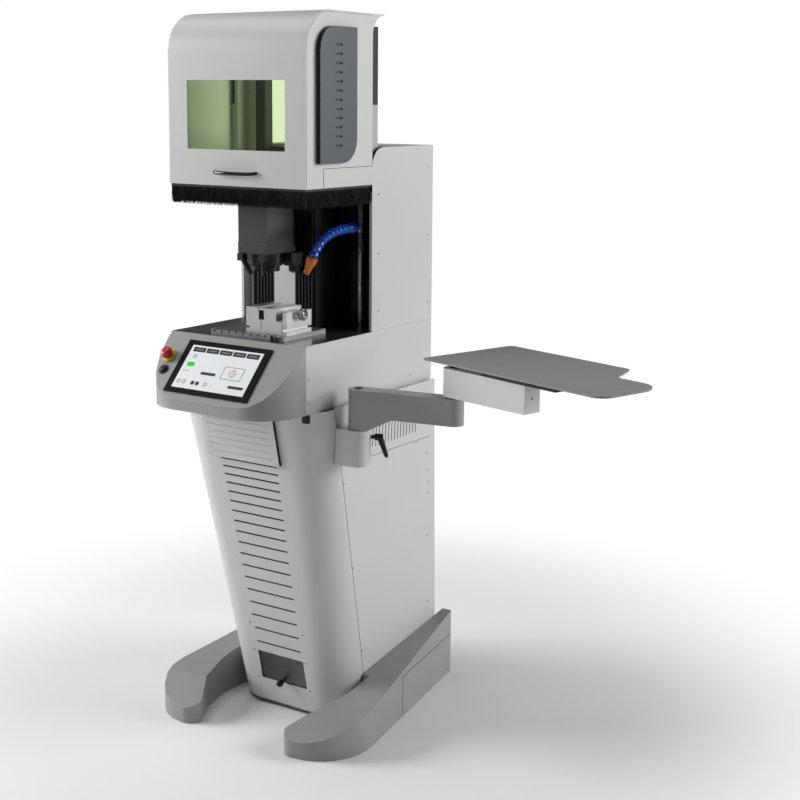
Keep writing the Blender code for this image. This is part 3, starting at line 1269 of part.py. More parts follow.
# Laptop arm
def stadium(start, end, radius):
    return [(start - radius, -radius, radius), (end + radius, -radius, radius), (end + radius, radius, radius),
            (start - radius, radius, radius)]


def armBracket(machine, paintwork):
    # A casting bolted to the pedestal's side, with the hub that carries the shoulder pin
    def wall(z):
        return halfWidth(z) + GAP

    reach = SHOULDER_X + BRACKET_HALF
    root = wall(bracketBottom) - OVERRUN
    near = SHOULDER_Y - BRACKET_HALF
    far = SHOULDER_Y + BRACKET_HALF
    corner = BRACKET_HALF - GAP
    plan = [(root, near, 0.0), (reach, near, corner), (reach, far, corner), (root, far, 0.0)]
    bracket = make("arm_bracket", prism(plan, "Z", bracketBottom, bracketTop), paintwork, machine)
    pinTop = armTop + GAP + PIN_SLACK
    pin = disc(PIN_RADIUS, bracketTop - PIN_SEAT, pinTop, SMALL_SIDES, (SHOULDER_X, SHOULDER_Y))
    combine(bracket, hidden("shoulder_pin", pin, machine), "UNION")
    low = bracketBottom - OVERRUN
    high = bracketTop + OVERRUN
    sides = [(0.0, low, 0.0), (wall(low), low, 0.0), (wall(high), high, 0.0), (0.0, high, 0.0)]
    panel = prism(sides, "Y", near - OVERRUN, far + OVERRUN)
    combine(bracket, hidden("bracket_wall", panel, machine))


def lowerArm(shoulder, paintwork):
    half = ARM_WIDTH / 2
    beam = prism(stadium(0.0, LOWER_REACH, half), "Z", armBottom, armTop)
    arm = make("arm_lower", beam, paintwork, shoulder, True)
    near = -half - OVERRUN
    far = LOWER_REACH + half + OVERRUN
    side = [(near, armBottom - OVERRUN, 0.0), (far, armBottom - OVERRUN, 0.0), (far, armBeam, 0.0),
            (ARM_HAUNCH_LENGTH + ARM_HAUNCH_RADIUS, armBeam, ARM_HAUNCH_RADIUS),
            (half + ARM_HAUNCH_FOOT, armBottom, 0.0), (near, armBottom, 0.0)]
    combine(arm, hidden("arm_haunch", prism(side, "Y", -half - OVERRUN, half + OVERRUN), shoulder, True))
    bore = disc(PIN_RADIUS + PIN_SLACK, armBottom - OVERRUN, armTop + OVERRUN, SMALL_SIDES)
    combine(arm, hidden("shoulder_bore", bore, shoulder, True))
    pin = disc(PIN_RADIUS, armTop - PIN_SEAT, upperTop + GAP, SMALL_SIDES, (LOWER_REACH, 0.0))
    combine(arm, hidden("elbow_pin", pin, shoulder, True), "UNION")


def upperArm(elbow, paintwork):
    half = UPPER_WIDTH / 2
    outline = [(-half, -half, half), (UPPER_REACH, -half, 0.0), (UPPER_REACH, half, 0.0), (-half, half, half)]
    arm = make("arm_upper", prism(outline, "Z", upperBottom, upperTop), paintwork, elbow, True)
    bore = disc(PIN_RADIUS + PIN_SLACK, upperBottom - OVERRUN, upperTop + OVERRUN, SMALL_SIDES)
    combine(arm, hidden("elbow_bore", bore, elbow, True))
    bore = disc(TRAY_PIN_RADIUS + PIN_SLACK, upperTop - TRAY_PIN_SEAT, upperTop + OVERRUN, SMALL_SIDES,
                (TRAY_PIVOT_REACH, 0.0))
    combine(arm, hidden("tray_bore", bore, elbow, True))


def laptopTray(traySwivel, paintwork):
    # Outline in the tray's own frame, from the pivot: a laptop plate with a rounded wing to the right
    def corner(x, y, radius):
        return (x - TRAY_PIVOT_ALONG, y - TRAY_PIVOT_BACK, radius)

    outline = [corner(0.0, 0.0, TRAY_CORNER), corner(TRAY_LENGTH, 0.0, WING_FRONT_RADIUS),
               corner(TRAY_LENGTH, WING_DEPTH, WING_REAR_RADIUS), corner(WING_START, WING_DEPTH, NOTCH_RADIUS),
               corner(TRAY_WIDTH, TRAY_DEPTH, TRAY_LOBE_RADIUS), corner(0.0, TRAY_DEPTH, TRAY_CORNER)]
    underside = trayTop - TRAY_THICKNESS
    tray = make("laptop_tray", prism(outline, "Z", underside, trayTop), paintwork, traySwivel, True)
    middle = underside + TRAY_THICKNESS / 2
    plate = block((-SWIVEL_LEFT, SWIVEL_RIGHT), (-SWIVEL_HALF, SWIVEL_HALF), (upperTop + GAP, middle))
    combine(tray, hidden("swivel_plate", plate, traySwivel, True), "UNION")
    pin = disc(TRAY_PIN_RADIUS, upperTop - TRAY_PIN_SEAT + GAP, middle, SMALL_SIDES)
    combine(tray, hidden("tray_pin", pin, traySwivel, True), "UNION")


def clampLever(machine, plastic):
    # An adjustable clamp lever on the hub's outer side, its handle hanging down and outwards
    outward = Vector((cos(LEVER_HEADING), sin(LEVER_HEADING), 0.0))
    start = Vector((SHOULDER_X, SHOULDER_Y, leverHeight)) + outward * (BRACKET_HALF + GAP)
    axis = frame("lever_turn", start, machine, outward.to_track_quat("Z", "Y").to_euler())
    hubEnd = LEVER_STEM_LENGTH + LEVER_HUB_LENGTH
    profile = [(LEVER_STEM_RADIUS, 0.0), (LEVER_STEM_RADIUS, LEVER_STEM_LENGTH),
               (LEVER_HUB_RADIUS, LEVER_STEM_LENGTH), (LEVER_HUB_RADIUS, hubEnd)]
    lever = make("clamp_lever", turned(profile, SMALL_SIDES), plastic, axis, True)
    reach = Vector((0.0, -LEVER_DROP, LEVER_SPREAD))
    root = (0.0, 0.0, hubEnd - LEVER_ROOT_RADIUS)
    bend = frame("lever_bend", root, axis, reach.to_track_quat("Z", "Y").to_euler())
    bend.matrix_parent_inverse = Matrix()
    grip = [(LEVER_ROOT_RADIUS, 0.0), (LEVER_TIP_RADIUS, reach.length - LEVER_TIP_RADIUS),
            (LEVER_TIP_RADIUS / 2, reach.length)]
    combine(lever, hidden("lever_grip", turned(grip, SMALL_SIDES), bend, True), "UNION")


def main():
    clearScene()
    white = paint("painted_steel", (0.60, 0.61, 0.59), 0.45)
    grey = paint("grey_paint", (0.33, 0.34, 0.33), 0.45)
    table = paint("table_top", (0.045, 0.047, 0.05), 0.3)
    steel = paint("steel", (0.45, 0.46, 0.47), 0.35, 0.9)
    chrome = paint("chrome", (0.75, 0.76, 0.78), 0.12, 1.0)
    black = paint("black_plastic", (0.012, 0.012, 0.013), 0.4)
    gloss = paint("black_gloss", (0.006, 0.006, 0.008), 0.08)
    charcoal = paint("charcoal", (0.05, 0.05, 0.052), 0.4)
    yellow = paint("yellow", (0.85, 0.55, 0.02), 0.4)
    red = paint("red", (0.6, 0.02, 0.02), 0.35)
    inlay = paint("blue_grey", (0.09, 0.107, 0.125), 0.45)
    laserGlass = paint("laser_glass", (0.32, 0.5, 0.18), 0.1, 0.0, 0.5)
    display = paint("display", (0.8, 0.81, 0.82), 0.2)
    blue = paint("hose_blue", (0.02, 0.10, 0.55), 0.35)
    orange = paint("nozzle_orange", (0.75, 0.22, 0.03), 0.4)
    bristle = paint("bristle", (0.01, 0.01, 0.011), 0.7)
    machine = frame("machine", (0.0, -baseMiddleY, 0.0), None)
    frontFace = frame("front_face", (0.0, frontFaceY(slotTop), slotTop), machine,
                      (pi / 2 + atan2(PEDESTAL_FRONT_LEAN, 1.0), 0.0, 0.0))
    rearFace = frame("rear_face", (0.0, rearFaceY(ledge) - REAR_PLATE_INSET, ledge), machine,
                     (pi / 2 - atan2(PEDESTAL_REAR_LEAN, 1.0), 0.0, pi))
    slant = frame("slant", (0.0, LIP_Y, lipHeight), machine, (atan2(TABLE_Z - lipHeight, -LIP_Y), 0.0, 0.0))
    basePlate(machine, steel)
    feet(machine, grey)
    pedestalShell(machine, frontFace, white)
    filterCover(frontFace, white)
    for side, word in ((1, "right"), (-1, "left")):
        sidePanel(side, "side_panel_" + word, machine, white)
    rearPanel(machine, rearFace, white)
    mainsInlet(rearFace, black)
    pedestalInside(machine, steel, charcoal)
    drawerSlide = frame("drawer_slide", (0.0, frontFaceY(KNOB_Z), KNOB_Z), machine)
    dustDrawer(machine, drawerSlide, grey, black)
    consoleNose(machine, slant, grey)
    consoleBody(machine, white, table)
    screen(slant, black, display)
    buttons(slant, yellow, red, black)
    column(machine, white, gloss, chrome, steel)
    hoodSlide = frame("hood_slide", (0.0, MAST_REAR_Y, hoodBottom), machine)
    hood(hoodSlide, white, inlay, laserGlass, black, steel)
    brushes(hoodSlide, bristle)
    headSlide(machine, charcoal)
    headLift = frame("head_lift", (0.0, SLIDE_FRONT_Y, headBottom), machine)
    scanHead(headLift, charcoal, black)
    airHose(machine, blue, orange)
    slottedPlate(machine, steel)
    screwAt = (0.0, VISE_FRONT_Y + VISE_WIDTH / 2, plateTop + GAP + VISE_BASE_HEIGHT + SCREW_UP)
    screwTurn = frame("vise_screw_turn", screwAt, machine, (0.0, pi / 2, 0.0))
    jawSlide = frame("vise_jaw_slide", screwAt, machine)
    vise(machine, jawSlide, screwTurn, steel, chrome)
    armBracket(machine, grey)
    shoulder = frame("shoulder", (SHOULDER_X, SHOULDER_Y, 0.0), machine, (0.0, 0.0, LOWER_HEADING))
    lowerArm(shoulder, grey)
    elbow = frame("elbow", (LOWER_REACH, 0.0, 0.0), shoulder, (0.0, 0.0, UPPER_HEADING - LOWER_HEADING))
    elbow.matrix_parent_inverse = Matrix()
    upperArm(elbow, grey)
    swing = (0.0, 0.0, TRAY_HEADING - UPPER_HEADING)
    traySwivel = frame("tray_swivel", (TRAY_PIVOT_REACH, 0.0, 0.0), elbow, swing)
    traySwivel.matrix_parent_inverse = Matrix()
    laptopTray(traySwivel, grey)
    clampLever(machine, black)


main()
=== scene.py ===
# Looks of a pedestal laser engraver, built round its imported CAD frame
import json
import math

import bmesh
import bpy
from mathutils import Matrix, Vector

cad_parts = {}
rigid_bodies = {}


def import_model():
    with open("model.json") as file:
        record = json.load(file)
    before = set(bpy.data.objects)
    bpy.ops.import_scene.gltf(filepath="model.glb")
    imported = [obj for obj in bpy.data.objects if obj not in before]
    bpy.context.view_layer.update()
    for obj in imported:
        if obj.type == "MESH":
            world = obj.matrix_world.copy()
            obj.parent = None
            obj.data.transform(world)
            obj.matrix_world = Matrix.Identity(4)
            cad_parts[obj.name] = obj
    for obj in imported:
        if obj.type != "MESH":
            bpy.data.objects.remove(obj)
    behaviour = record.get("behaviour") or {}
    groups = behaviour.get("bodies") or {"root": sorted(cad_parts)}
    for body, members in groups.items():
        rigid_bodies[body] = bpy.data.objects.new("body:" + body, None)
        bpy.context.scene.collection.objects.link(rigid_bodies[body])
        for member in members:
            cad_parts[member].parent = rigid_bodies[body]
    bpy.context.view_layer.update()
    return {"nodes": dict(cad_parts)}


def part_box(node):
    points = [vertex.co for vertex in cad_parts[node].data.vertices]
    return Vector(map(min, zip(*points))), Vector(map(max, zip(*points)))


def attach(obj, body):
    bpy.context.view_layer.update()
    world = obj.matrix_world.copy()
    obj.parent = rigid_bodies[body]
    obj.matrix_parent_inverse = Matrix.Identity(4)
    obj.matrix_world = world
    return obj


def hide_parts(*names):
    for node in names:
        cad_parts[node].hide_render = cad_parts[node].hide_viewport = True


for leftover in list(bpy.data.objects):
    bpy.data.objects.remove(leftover)
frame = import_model()
nodes = frame["nodes"]
print("frame loaded with", len(nodes), "nodes")

# Places below are measured as on the drawing: Y from the hood's front plane, Z from the floor
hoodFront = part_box("hood_shell")[0].y
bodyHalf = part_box("console_side_right")[1].x
bothSides = ((1, "Right"), (-1, "Left"))
creaseAngle = math.radians(32)


def at(x, y, z):
    return Vector((x, hoodFront + y, z))


def linked(name, data):
    thing = bpy.data.objects.new(name, data)
    bpy.context.scene.collection.objects.link(thing)
    return thing


# Nodes of shader and geometry trees
def bareTree(holder):
    holder.use_nodes = True
    holder.node_tree.nodes.clear()
    return holder.node_tree


def put(tree, kind, inputs=None, **settings):
    # Adds a node and gives its outputs; an input takes a value or another node's output
    node = tree.nodes.new(kind)
    for key, value in settings.items():
        setattr(node, key, value)
    for key, value in (inputs or {}).items():
        if isinstance(value, bpy.types.NodeSocket):
            tree.links.new(value, node.inputs[key])
        else:
            node.inputs[key].default_value = value
    return node.outputs


def maths(tree, operation, first, second=0.0):
    return put(tree, "ShaderNodeMath", {0: first, 1: second}, operation=operation)[0]


def vector(tree, x, y, z):
    return put(tree, "ShaderNodeCombineXYZ", {0: x, 1: y, 2: z})[0]


def ramp(tree, value, low, high, start=0.0, stop=1.0):
    # Stretches the range from start to stop over the range from low to high
    return put(tree, "ShaderNodeMapRange", {0: value, 1: start, 2: stop, 3: low, 4: high})[0]


def around(tree, value, middle, share):
    return ramp(tree, value, middle * (1 - share), middle * (1 + share))


def noise(tree, spot, scale, detail, roughness=0.5):
    inputs = {"Vector": spot, "Scale": scale, "Detail": detail, "Roughness": roughness}
    return put(tree, "ShaderNodeTexNoise", inputs)[0]


# Camera, lamps as (place, aim, size, power), and floor
cameraSet = {"place": (2.2369, -3.0868, 1.6133), "azimuth": 0.5832, "pitch": 0.1528, "roll": 0.0081,
             "lens": 64.36, "shift": -0.10, "nearest": 0.05, "farthest": 60.0}
lampSet = {
    "rightLamp": ((3.9, 2.3, 2.2), (0.0, 0.0, 0.95), 2.4, 152.0),
    "leftLamp": ((-4.0, -2.1, 2.3), (0.0, 0.0, 0.9), 2.2, 198.0),
    "topLamp": ((-1.2, -0.6, 4.6), (0.0, 0.0, 1.0), 2.4, 48.0),
}
stageSet = {"half": 7.0, "tone": (0.86, 0.86, 0.86, 1.0), "white": (1.0, 1.0, 1.0, 1.0), "skyLight": 0.12,
            "fadeFrom": 0.75, "fadeTo": 1.7}


def makeCamera(place, azimuth, pitch, roll, lens, shift, nearest, farthest):
    data = bpy.data.cameras.new("mainCamera")
    data.lens, data.shift_y, data.clip_start, data.clip_end = lens, shift, nearest, farthest
    camera = linked("mainCamera", data)
    aimed = Matrix.Rotation(azimuth, 4, "Z") @ Matrix.Rotation(math.pi / 2 - pitch, 4, "X")
    camera.matrix_world = Matrix.Translation(place) @ aimed @ Matrix.Rotation(roll, 4, "Z")
    bpy.context.scene.camera = camera


def makeLamps():
    for name, (place, aim, size, power) in lampSet.items():
        data = bpy.data.lights.new(name, "AREA")
        data.shape, data.size, data.energy = "SQUARE", size, power
        lamp = linked(name, data)
        lamp.location = place
        lamp.rotation_euler = (Vector(aim) - Vector(place)).to_track_quat("-Z", "Y").to_euler()


def seenDirectly(tree):
    # 1 for camera and see-through rays, 0 for the rays that light things
    path = put(tree, "ShaderNodeLightPath")
    return maths(tree, "MAXIMUM", path["Is Camera Ray"], path["Is Transmission Ray"])


def makeStage(half, tone, white, skyLight, fadeFrom, fadeTo):
    world = bpy.data.worlds.new("studioWhite")
    tree = bareTree(world)
    strength = ramp(tree, seenDirectly(tree), skyLight, 1.0)
    sky = put(tree, "ShaderNodeBackground", {"Color": white, "Strength": strength})
    put(tree, "ShaderNodeOutputWorld", {"Surface": sky[0]})
    bpy.context.scene.world = world
    mesh = bpy.data.meshes.new("floor")
    corners = [(-half, -half, 0.0), (half, -half, 0.0), (half, half, 0.0), (-half, half, 0.0)]
    mesh.from_pydata(corners, [], [(0, 1, 2, 3)])
    material = bpy.data.materials.new("floorPale")
    tree = bareTree(material)
    spot = put(tree, "ShaderNodeTexCoord")["Object"]
    distance = put(tree, "ShaderNodeVectorMath", {0: spot}, operation="LENGTH")["Value"]
    fade = put(tree, "ShaderNodeMapRange", {0: distance, 1: fadeFrom, 2: fadeTo}, interpolation_type="SMOOTHSTEP")
    direct = maths(tree, "MULTIPLY", fade[0], seenDirectly(tree))
    matt = put(tree, "ShaderNodeBsdfDiffuse", {"Color": tone})
    glow = put(tree, "ShaderNodeEmission", {"Color": white, "Strength": 1.0})
    mixed = put(tree, "ShaderNodeMixShader", {0: direct, 1: matt[0], 2: glow[0]})
    put(tree, "ShaderNodeOutputMaterial", {"Surface": mixed[0]})
    mesh.materials.append(material)
    linked("floor", mesh)


makeCamera(**cameraSet)
makeLamps()
makeStage(**stageSet)
bpy.context.scene.view_settings.view_transform = "Standard"
print("camera, lamps and floor in place")

# Finishes. Coats: colour, worn edges with painted highlight, roughness, grain scale, bump, mottling, clear coat,
# metallic, specular
coatSet = {
    "warmGreyCoat": ((0.60, 0.61, 0.59), (0.68, 0.69, 0.67), 0.42, 520.0, 0.05, 0.035, 0.12),
    "midGreyCoat": ((0.36, 0.36, 0.355), (0.46, 0.47, 0.46), 0.34, 520.0, 0.05, 0.05, 0.2),
    "footGreyCoat": ((0.30, 0.305, 0.30), (0.40, 0.41, 0.40), 0.46, 520.0, 0.06, 0.05, 0.1),
    # The two arm coats are one arm paint: darker as painted shade on the lower arm, lighter as painted light on the
    # upper arm and bracket
    "armGreyCoat": ((0.36, 0.365, 0.36), (0.44, 0.45, 0.45), 0.34, 480.0, 0.06, 0.05, 0.2),
    "armPaleCoat": ((0.66, 0.665, 0.655), (0.72, 0.73, 0.72), 0.36, 480.0, 0.05, 0.04, 0.2),
    "blackAnodised": ((0.060, 0.061, 0.063), (0.16, 0.16, 0.165), 0.30, 700.0, 0.03, 0.12, 0.0, 0.5, 0.4),
    "blackMoulding": ((0.010, 0.010, 0.011), (0.028, 0.028, 0.030), 0.40, 900.0, 0.07, 0.15, 0.0, 0.0, 0.3),
    "blackGloss": ((0.005, 0.005, 0.006), (0.012, 0.012, 0.013), 0.12, 60.0, 0.004, 0.2, 0.0),
    "bezelBlack": ((0.004, 0.004, 0.0045), (0.02, 0.02, 0.021), 0.34, 900.0, 0.02, 0.2, 0.0, 0.0, 0.12),
    "blackPanel": ((0.004, 0.004, 0.005), (0.02, 0.02, 0.022), 0.16, 40.0, 0.004, 0.2, 0.0, 0.0, 0.25),
    "charcoalCast": ((0.033, 0.033, 0.035), (0.11, 0.11, 0.115), 0.40, 620.0, 0.10, 0.12, 0.1, 0.0, 0.4),
    "safetyYellow": ((0.80, 0.50, 0.02), (0.88, 0.62, 0.10), 0.4, 700.0, 0.03, 0.05, 0.2),
    "stopRed": ((0.52, 0.007, 0.012), (0.75, 0.08, 0.07), 0.3, 700.0, 0.02, 0.05, 0.4),
    "hoseBlue": ((0.003, 0.075, 0.50), (0.012, 0.10, 0.52), 0.26, 600.0, 0.03, 0.06, 0.3),
    "nozzleOrange": ((0.66, 0.15, 0.005), (0.80, 0.26, 0.03), 0.30, 600.0, 0.03, 0.08, 0.3),
    # This dark finish draws seam lines, grooves and scale lines, and also painted shade behind the slots and along
    # the filter cover's edge
    "darkGap": ((0.02, 0.02, 0.021), (0.03, 0.03, 0.03), 0.8, 500.0, 0.02, 0.1, 0.0, 0.0, 0.2),
    "screwZinc": ((0.20, 0.20, 0.205), (0.4, 0.4, 0.41), 0.35, 700.0, 0.03, 0.15, 0.0, 0.8),
}
# Metals: colour, roughness, its spread, how the tooling lines are drawn out, bump
metalSet = {
    "groundSteel": ((0.52, 0.53, 0.54), 0.30, 0.12, (14.0, 420.0, 420.0)),
    "machinedSteel": ((0.66, 0.665, 0.67), 0.33, 0.05, (900.0, 24.0, 900.0), 0.015),
    "polishedChrome": ((0.78, 0.79, 0.81), 0.07, 0.04, (300.0, 300.0, 12.0)),
    "drawerSteel": ((0.17, 0.172, 0.175), 0.36, 0.16, (20.0, 300.0, 300.0)),
}
# Bands: inner colour, outer colour, low, high, axis, roughness, specular
bandSet = {
    "slideTwoTone": ((0.74, 0.745, 0.75), (0.009, 0.009, 0.010), -0.0335, 0.0335, 0, 0.45, 0.25),
    "trayTwoTone": ((0.30, 0.305, 0.30), (0.012, 0.012, 0.013), 0.9995, 1.1, 2, 0.55, 0.3),
    "insetTwoTone": ((0.008, 0.008, 0.009), (0.066, 0.080, 0.093), -0.2232, 0.2232, 0, 0.4, 0.35),
}
# Screens: colour and glow
glowSet = {
    "screenWhite": ((0.80, 0.82, 0.84), 0.22),
    "screenSlate": ((0.055, 0.06, 0.065), 0.05),
    "screenGreen": ((0.03, 0.62, 0.05), 0.25),
    "screenGrey": ((0.30, 0.31, 0.33), 0.08),
    "screenRed": ((0.60, 0.05, 0.05), 0.15),
}
mastSet = {"inner": 0.166, "outer": 0.1995, "behind": 0.29, "high": 1.60, "dull": (0.44, 0.45, 0.44),
           "pale": (0.50, 0.51, 0.50), "black": (0.007, 0.007, 0.008), "specular": 0.3}
# The lighter bristle tone is a painted highlight on the strands
bristleSet = {"streaks": (420.0, 420.0, 14.0), "dark": (0.004, 0.004, 0.0045), "streakHighlight": (0.055, 0.055, 0.057),
              "start": 0.42, "stop": 0.66, "specular": 0.3}
# The slotted plate's slots take a dark colour of painted shade
plateSet = {"rim": 0.0012, "skin": 0.0003, "lines": (300.0, 16.0, 300.0), "dull": (0.22, 0.223, 0.228),
            "bright": (0.30, 0.304, 0.31), "slotShade": (0.012, 0.012, 0.013), "metallic": 0.85}
paneSet = {"deep": (0.70, 0.86, 0.50), "clear": (0.73, 0.88, 0.54), "bend": 1.3}
# Slow noises as (scale, detail, roughness), and rounded edges as radii
cloudSet = {"coat": (5.0, 5.0, 0.6), "metal": (9.0, 4.0), "band": (30.0, 4.0), "mast": (8.0, 4.0),
            "pane": (4.0, 2.0), "screen": (6.0, 2.0)}
# wear sets how much the edges take their lighter colour, partly wear and partly painted highlight
edgeSet = {"start": 0.985, "stop": 0.88, "wearHighlight": 0.55, "coat": 0.0012, "tone": 0.0008, "metal": 0.0006}
finishes = {}


def openFinish(name):
    # A bare material, and the Object coordinates that its textures run on
    finishes[name] = bpy.data.materials.new(name)
    tree = bareTree(finishes[name])
    return tree, put(tree, "ShaderNodeTexCoord")["Object"]


def closeFinish(tree, inputs):
    shader = put(tree, "ShaderNodeBsdfPrincipled", inputs)
    put(tree, "ShaderNodeOutputMaterial", {"Surface": shader[0]})


def toolLines(tree, spot, scale):
    return noise(tree, put(tree, "ShaderNodeMapping", {"Vector": spot, "Scale": scale})[0], 1.0, 3.0)


def tinted(colour, factor):
    return [part * factor for part in colour]


def mix(tree, amount, first, second):
    # Each end is a colour or another node's output
    ends = (end if isinstance(end, bpy.types.NodeSocket) else (*end, 1.0) for end in (first, second))
    return put(tree, "ShaderNodeMix", dict(zip((0, 6, 7), (amount, *ends))), data_type="RGBA")[2]


def edgeNormal(tree, kind):
    return put(tree, "ShaderNodeBevel", {"Radius": edgeSet[kind]}, samples=4)[0]


def edgeMask(tree, rounded):
    # 0 on flat faces and up to 1 along edges, from the rounded normal against the true one
    true = put(tree, "ShaderNodeNewGeometry")["Normal"]
    same = put(tree, "ShaderNodeVectorMath", {0: rounded, 1: true}, operation="DOT_PRODUCT")["Value"]
    return ramp(tree, same, 0.0, 1.0, edgeSet["start"], edgeSet["stop"])


def bumped(tree, height, strength, distance, normal):
    inputs = {"Height": height, "Strength": strength, "Distance": distance, "Normal": normal}
    return put(tree, "ShaderNodeBump", inputs)[0]


def coated(name, colour, wornHighlight, roughness, grain, bump, mottle, coat, metallic=0.0, specular=0.5):
    # A painted, moulded or cast surface: fine grain, faint mottling and lighter edges, partly wear and partly
    # painted highlight
    tree, spot = openFinish(name)
    cloud = noise(tree, spot, *cloudSet["coat"])
    normal = edgeNormal(tree, "coat")
    rubbedHighlight = maths(tree, "MULTIPLY", edgeMask(tree, normal), edgeSet["wearHighlight"])
    body = mix(tree, cloud, tinted(colour, 1 - mottle), tinted(colour, 1 + mottle))
    closeFinish(tree, {
        "Base Color": mix(tree, rubbedHighlight, body, wornHighlight), "Roughness": around(tree, cloud, roughness, 0.12),
        "Normal": bumped(tree, noise(tree, spot, grain, 2.0), bump, 0.001, normal), "Metallic": metallic,
        "Specular IOR Level": specular, "Coat Weight": coat, "Coat Roughness": 0.3})


def brushed(name, colour, roughness, spread, along, bump=0.06):
    # A metal with fine tooling lines that run along one direction
    tree, spot = openFinish(name)
    lines = toolLines(tree, spot, along)
    closeFinish(tree, {
        "Base Color": mix(tree, noise(tree, spot, *cloudSet["metal"]), tinted(colour, 0.86), colour),
        "Roughness": ramp(tree, lines, roughness, roughness + spread, 0.3, 0.7),
        "Normal": bumped(tree, lines, bump, 0.0006, edgeNormal(tree, "metal")), "Metallic": 1.0})


def banded(name, inner, outer, low, high, axis, roughness, specular):
    # Two tones split across one direction of the piece: inner between low and high, outer beyond
    tree, spot = openFinish(name)
    place = put(tree, "ShaderNodeSeparateXYZ", {0: spot})[axis]
    within = maths(tree, "MULTIPLY", maths(tree, "GREATER_THAN", place, low), maths(tree, "LESS_THAN", place, high))
    cloud = noise(tree, spot, *cloudSet["band"])
    shaded = {0: mix(tree, within, outer, inner), "Scale": around(tree, cloud, 1.0, 0.08)}
    closeFinish(tree, {
        "Base Color": put(tree, "ShaderNodeVectorMath", shaded, operation="SCALE")[0],
        "Roughness": around(tree, cloud, roughness, 0.1), "Normal": edgeNormal(tree, "tone"),
        "Specular IOR Level": specular})


def mastTones(inner, outer, behind, high, dull, pale, black, specular):
    # Hood masts: black on the inner half and high up at the back, pale elsewhere
    tree, spot = openFinish("mastTones")
    parts = put(tree, "ShaderNodeSeparateXYZ", {0: spot})
    away = maths(tree, "ABSOLUTE", parts[0])
    edge = maths(tree, "MAXIMUM", maths(tree, "GREATER_THAN", away, outer),
                 maths(tree, "GREATER_THAN", parts[1], hoodFront + behind))
    upper = maths(tree, "MULTIPLY", edge, maths(tree, "GREATER_THAN", parts[2], high))
    dark = maths(tree, "MAXIMUM", upper, maths(tree, "LESS_THAN", away, inner))
    cloud = noise(tree, spot, *cloudSet["mast"])
    closeFinish(tree, {
        "Base Color": mix(tree, dark, mix(tree, cloud, dull, pale), black), "Normal": edgeNormal(tree, "tone"),
        "Roughness": ramp(tree, cloud, 0.30, 0.38), "Specular IOR Level": specular})


def bristleTones(streaks, dark, streakHighlight, start, stop, specular):
    # Black nylon strands, streaked along their length in bundles with lighter charcoal that paints their highlights
    tree, spot = openFinish("brushBristle")
    streak = toolLines(tree, spot, streaks)
    closeFinish(tree, {
        "Base Color": mix(tree, ramp(tree, streak, 0.0, 1.0, start, stop), dark, streakHighlight),
        "Roughness": ramp(tree, streak, 0.55, 0.35), "Specular IOR Level": specular})


def plateTones(rim, skin, lines, dull, bright, slotShade, metallic):
    # Slotted plate: grey on top and round its edge, with painted shade dark down in the slots
    tree, spot = openFinish("plateTones")
    low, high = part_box("slotted_plate")
    parts = put(tree, "ShaderNodeSeparateXYZ", {0: spot})
    deep = maths(tree, "LESS_THAN", parts[2], high.z - skin)
    for axis in range(2):
        for way, edge in (("GREATER_THAN", low[axis] + rim), ("LESS_THAN", high[axis] - rim)):
            deep = maths(tree, "MULTIPLY", deep, maths(tree, way, parts[axis], edge))
    tooled = toolLines(tree, spot, lines)
    closeFinish(tree, {
        "Base Color": mix(tree, deep, mix(tree, tooled, dull, bright), slotShade),
        "Roughness": ramp(tree, tooled, 0.34, 0.46), "Metallic": ramp(tree, deep, metallic, 0.0),
        "Normal": edgeNormal(tree, "metal")})


def laserPane(deep, clear, bend):
    # Green laser-safe sheet, clear enough to show the inside of the hood
    tree, spot = openFinish("laserPane")
    cloud = noise(tree, spot, *cloudSet["pane"])
    closeFinish(tree, {"Base Color": mix(tree, cloud, deep, clear), "Roughness": ramp(tree, cloud, 0.01, 0.03),
                       "Transmission Weight": 1.0, "IOR": bend})


def litScreen(name, colour, glow):
    # The lit display and the pictures on it
    tree, spot = openFinish(name)
    tone = mix(tree, noise(tree, spot, *cloudSet["screen"]), tinted(colour, 0.96), colour)
    closeFinish(tree, {"Base Color": tone, "Emission Color": tone, "Emission Strength": glow, "Roughness": 0.25})


for make, table in ((coated, coatSet), (brushed, metalSet), (banded, bandSet), (litScreen, glowSet)):
    for finishName, traits in table.items():
        make(finishName, *traits)
mastTones(**mastSet)
bristleTones(**bristleSet)
plateTones(**plateSet)
laserPane(**paneSet)
print("finishes made:", len(finishes))

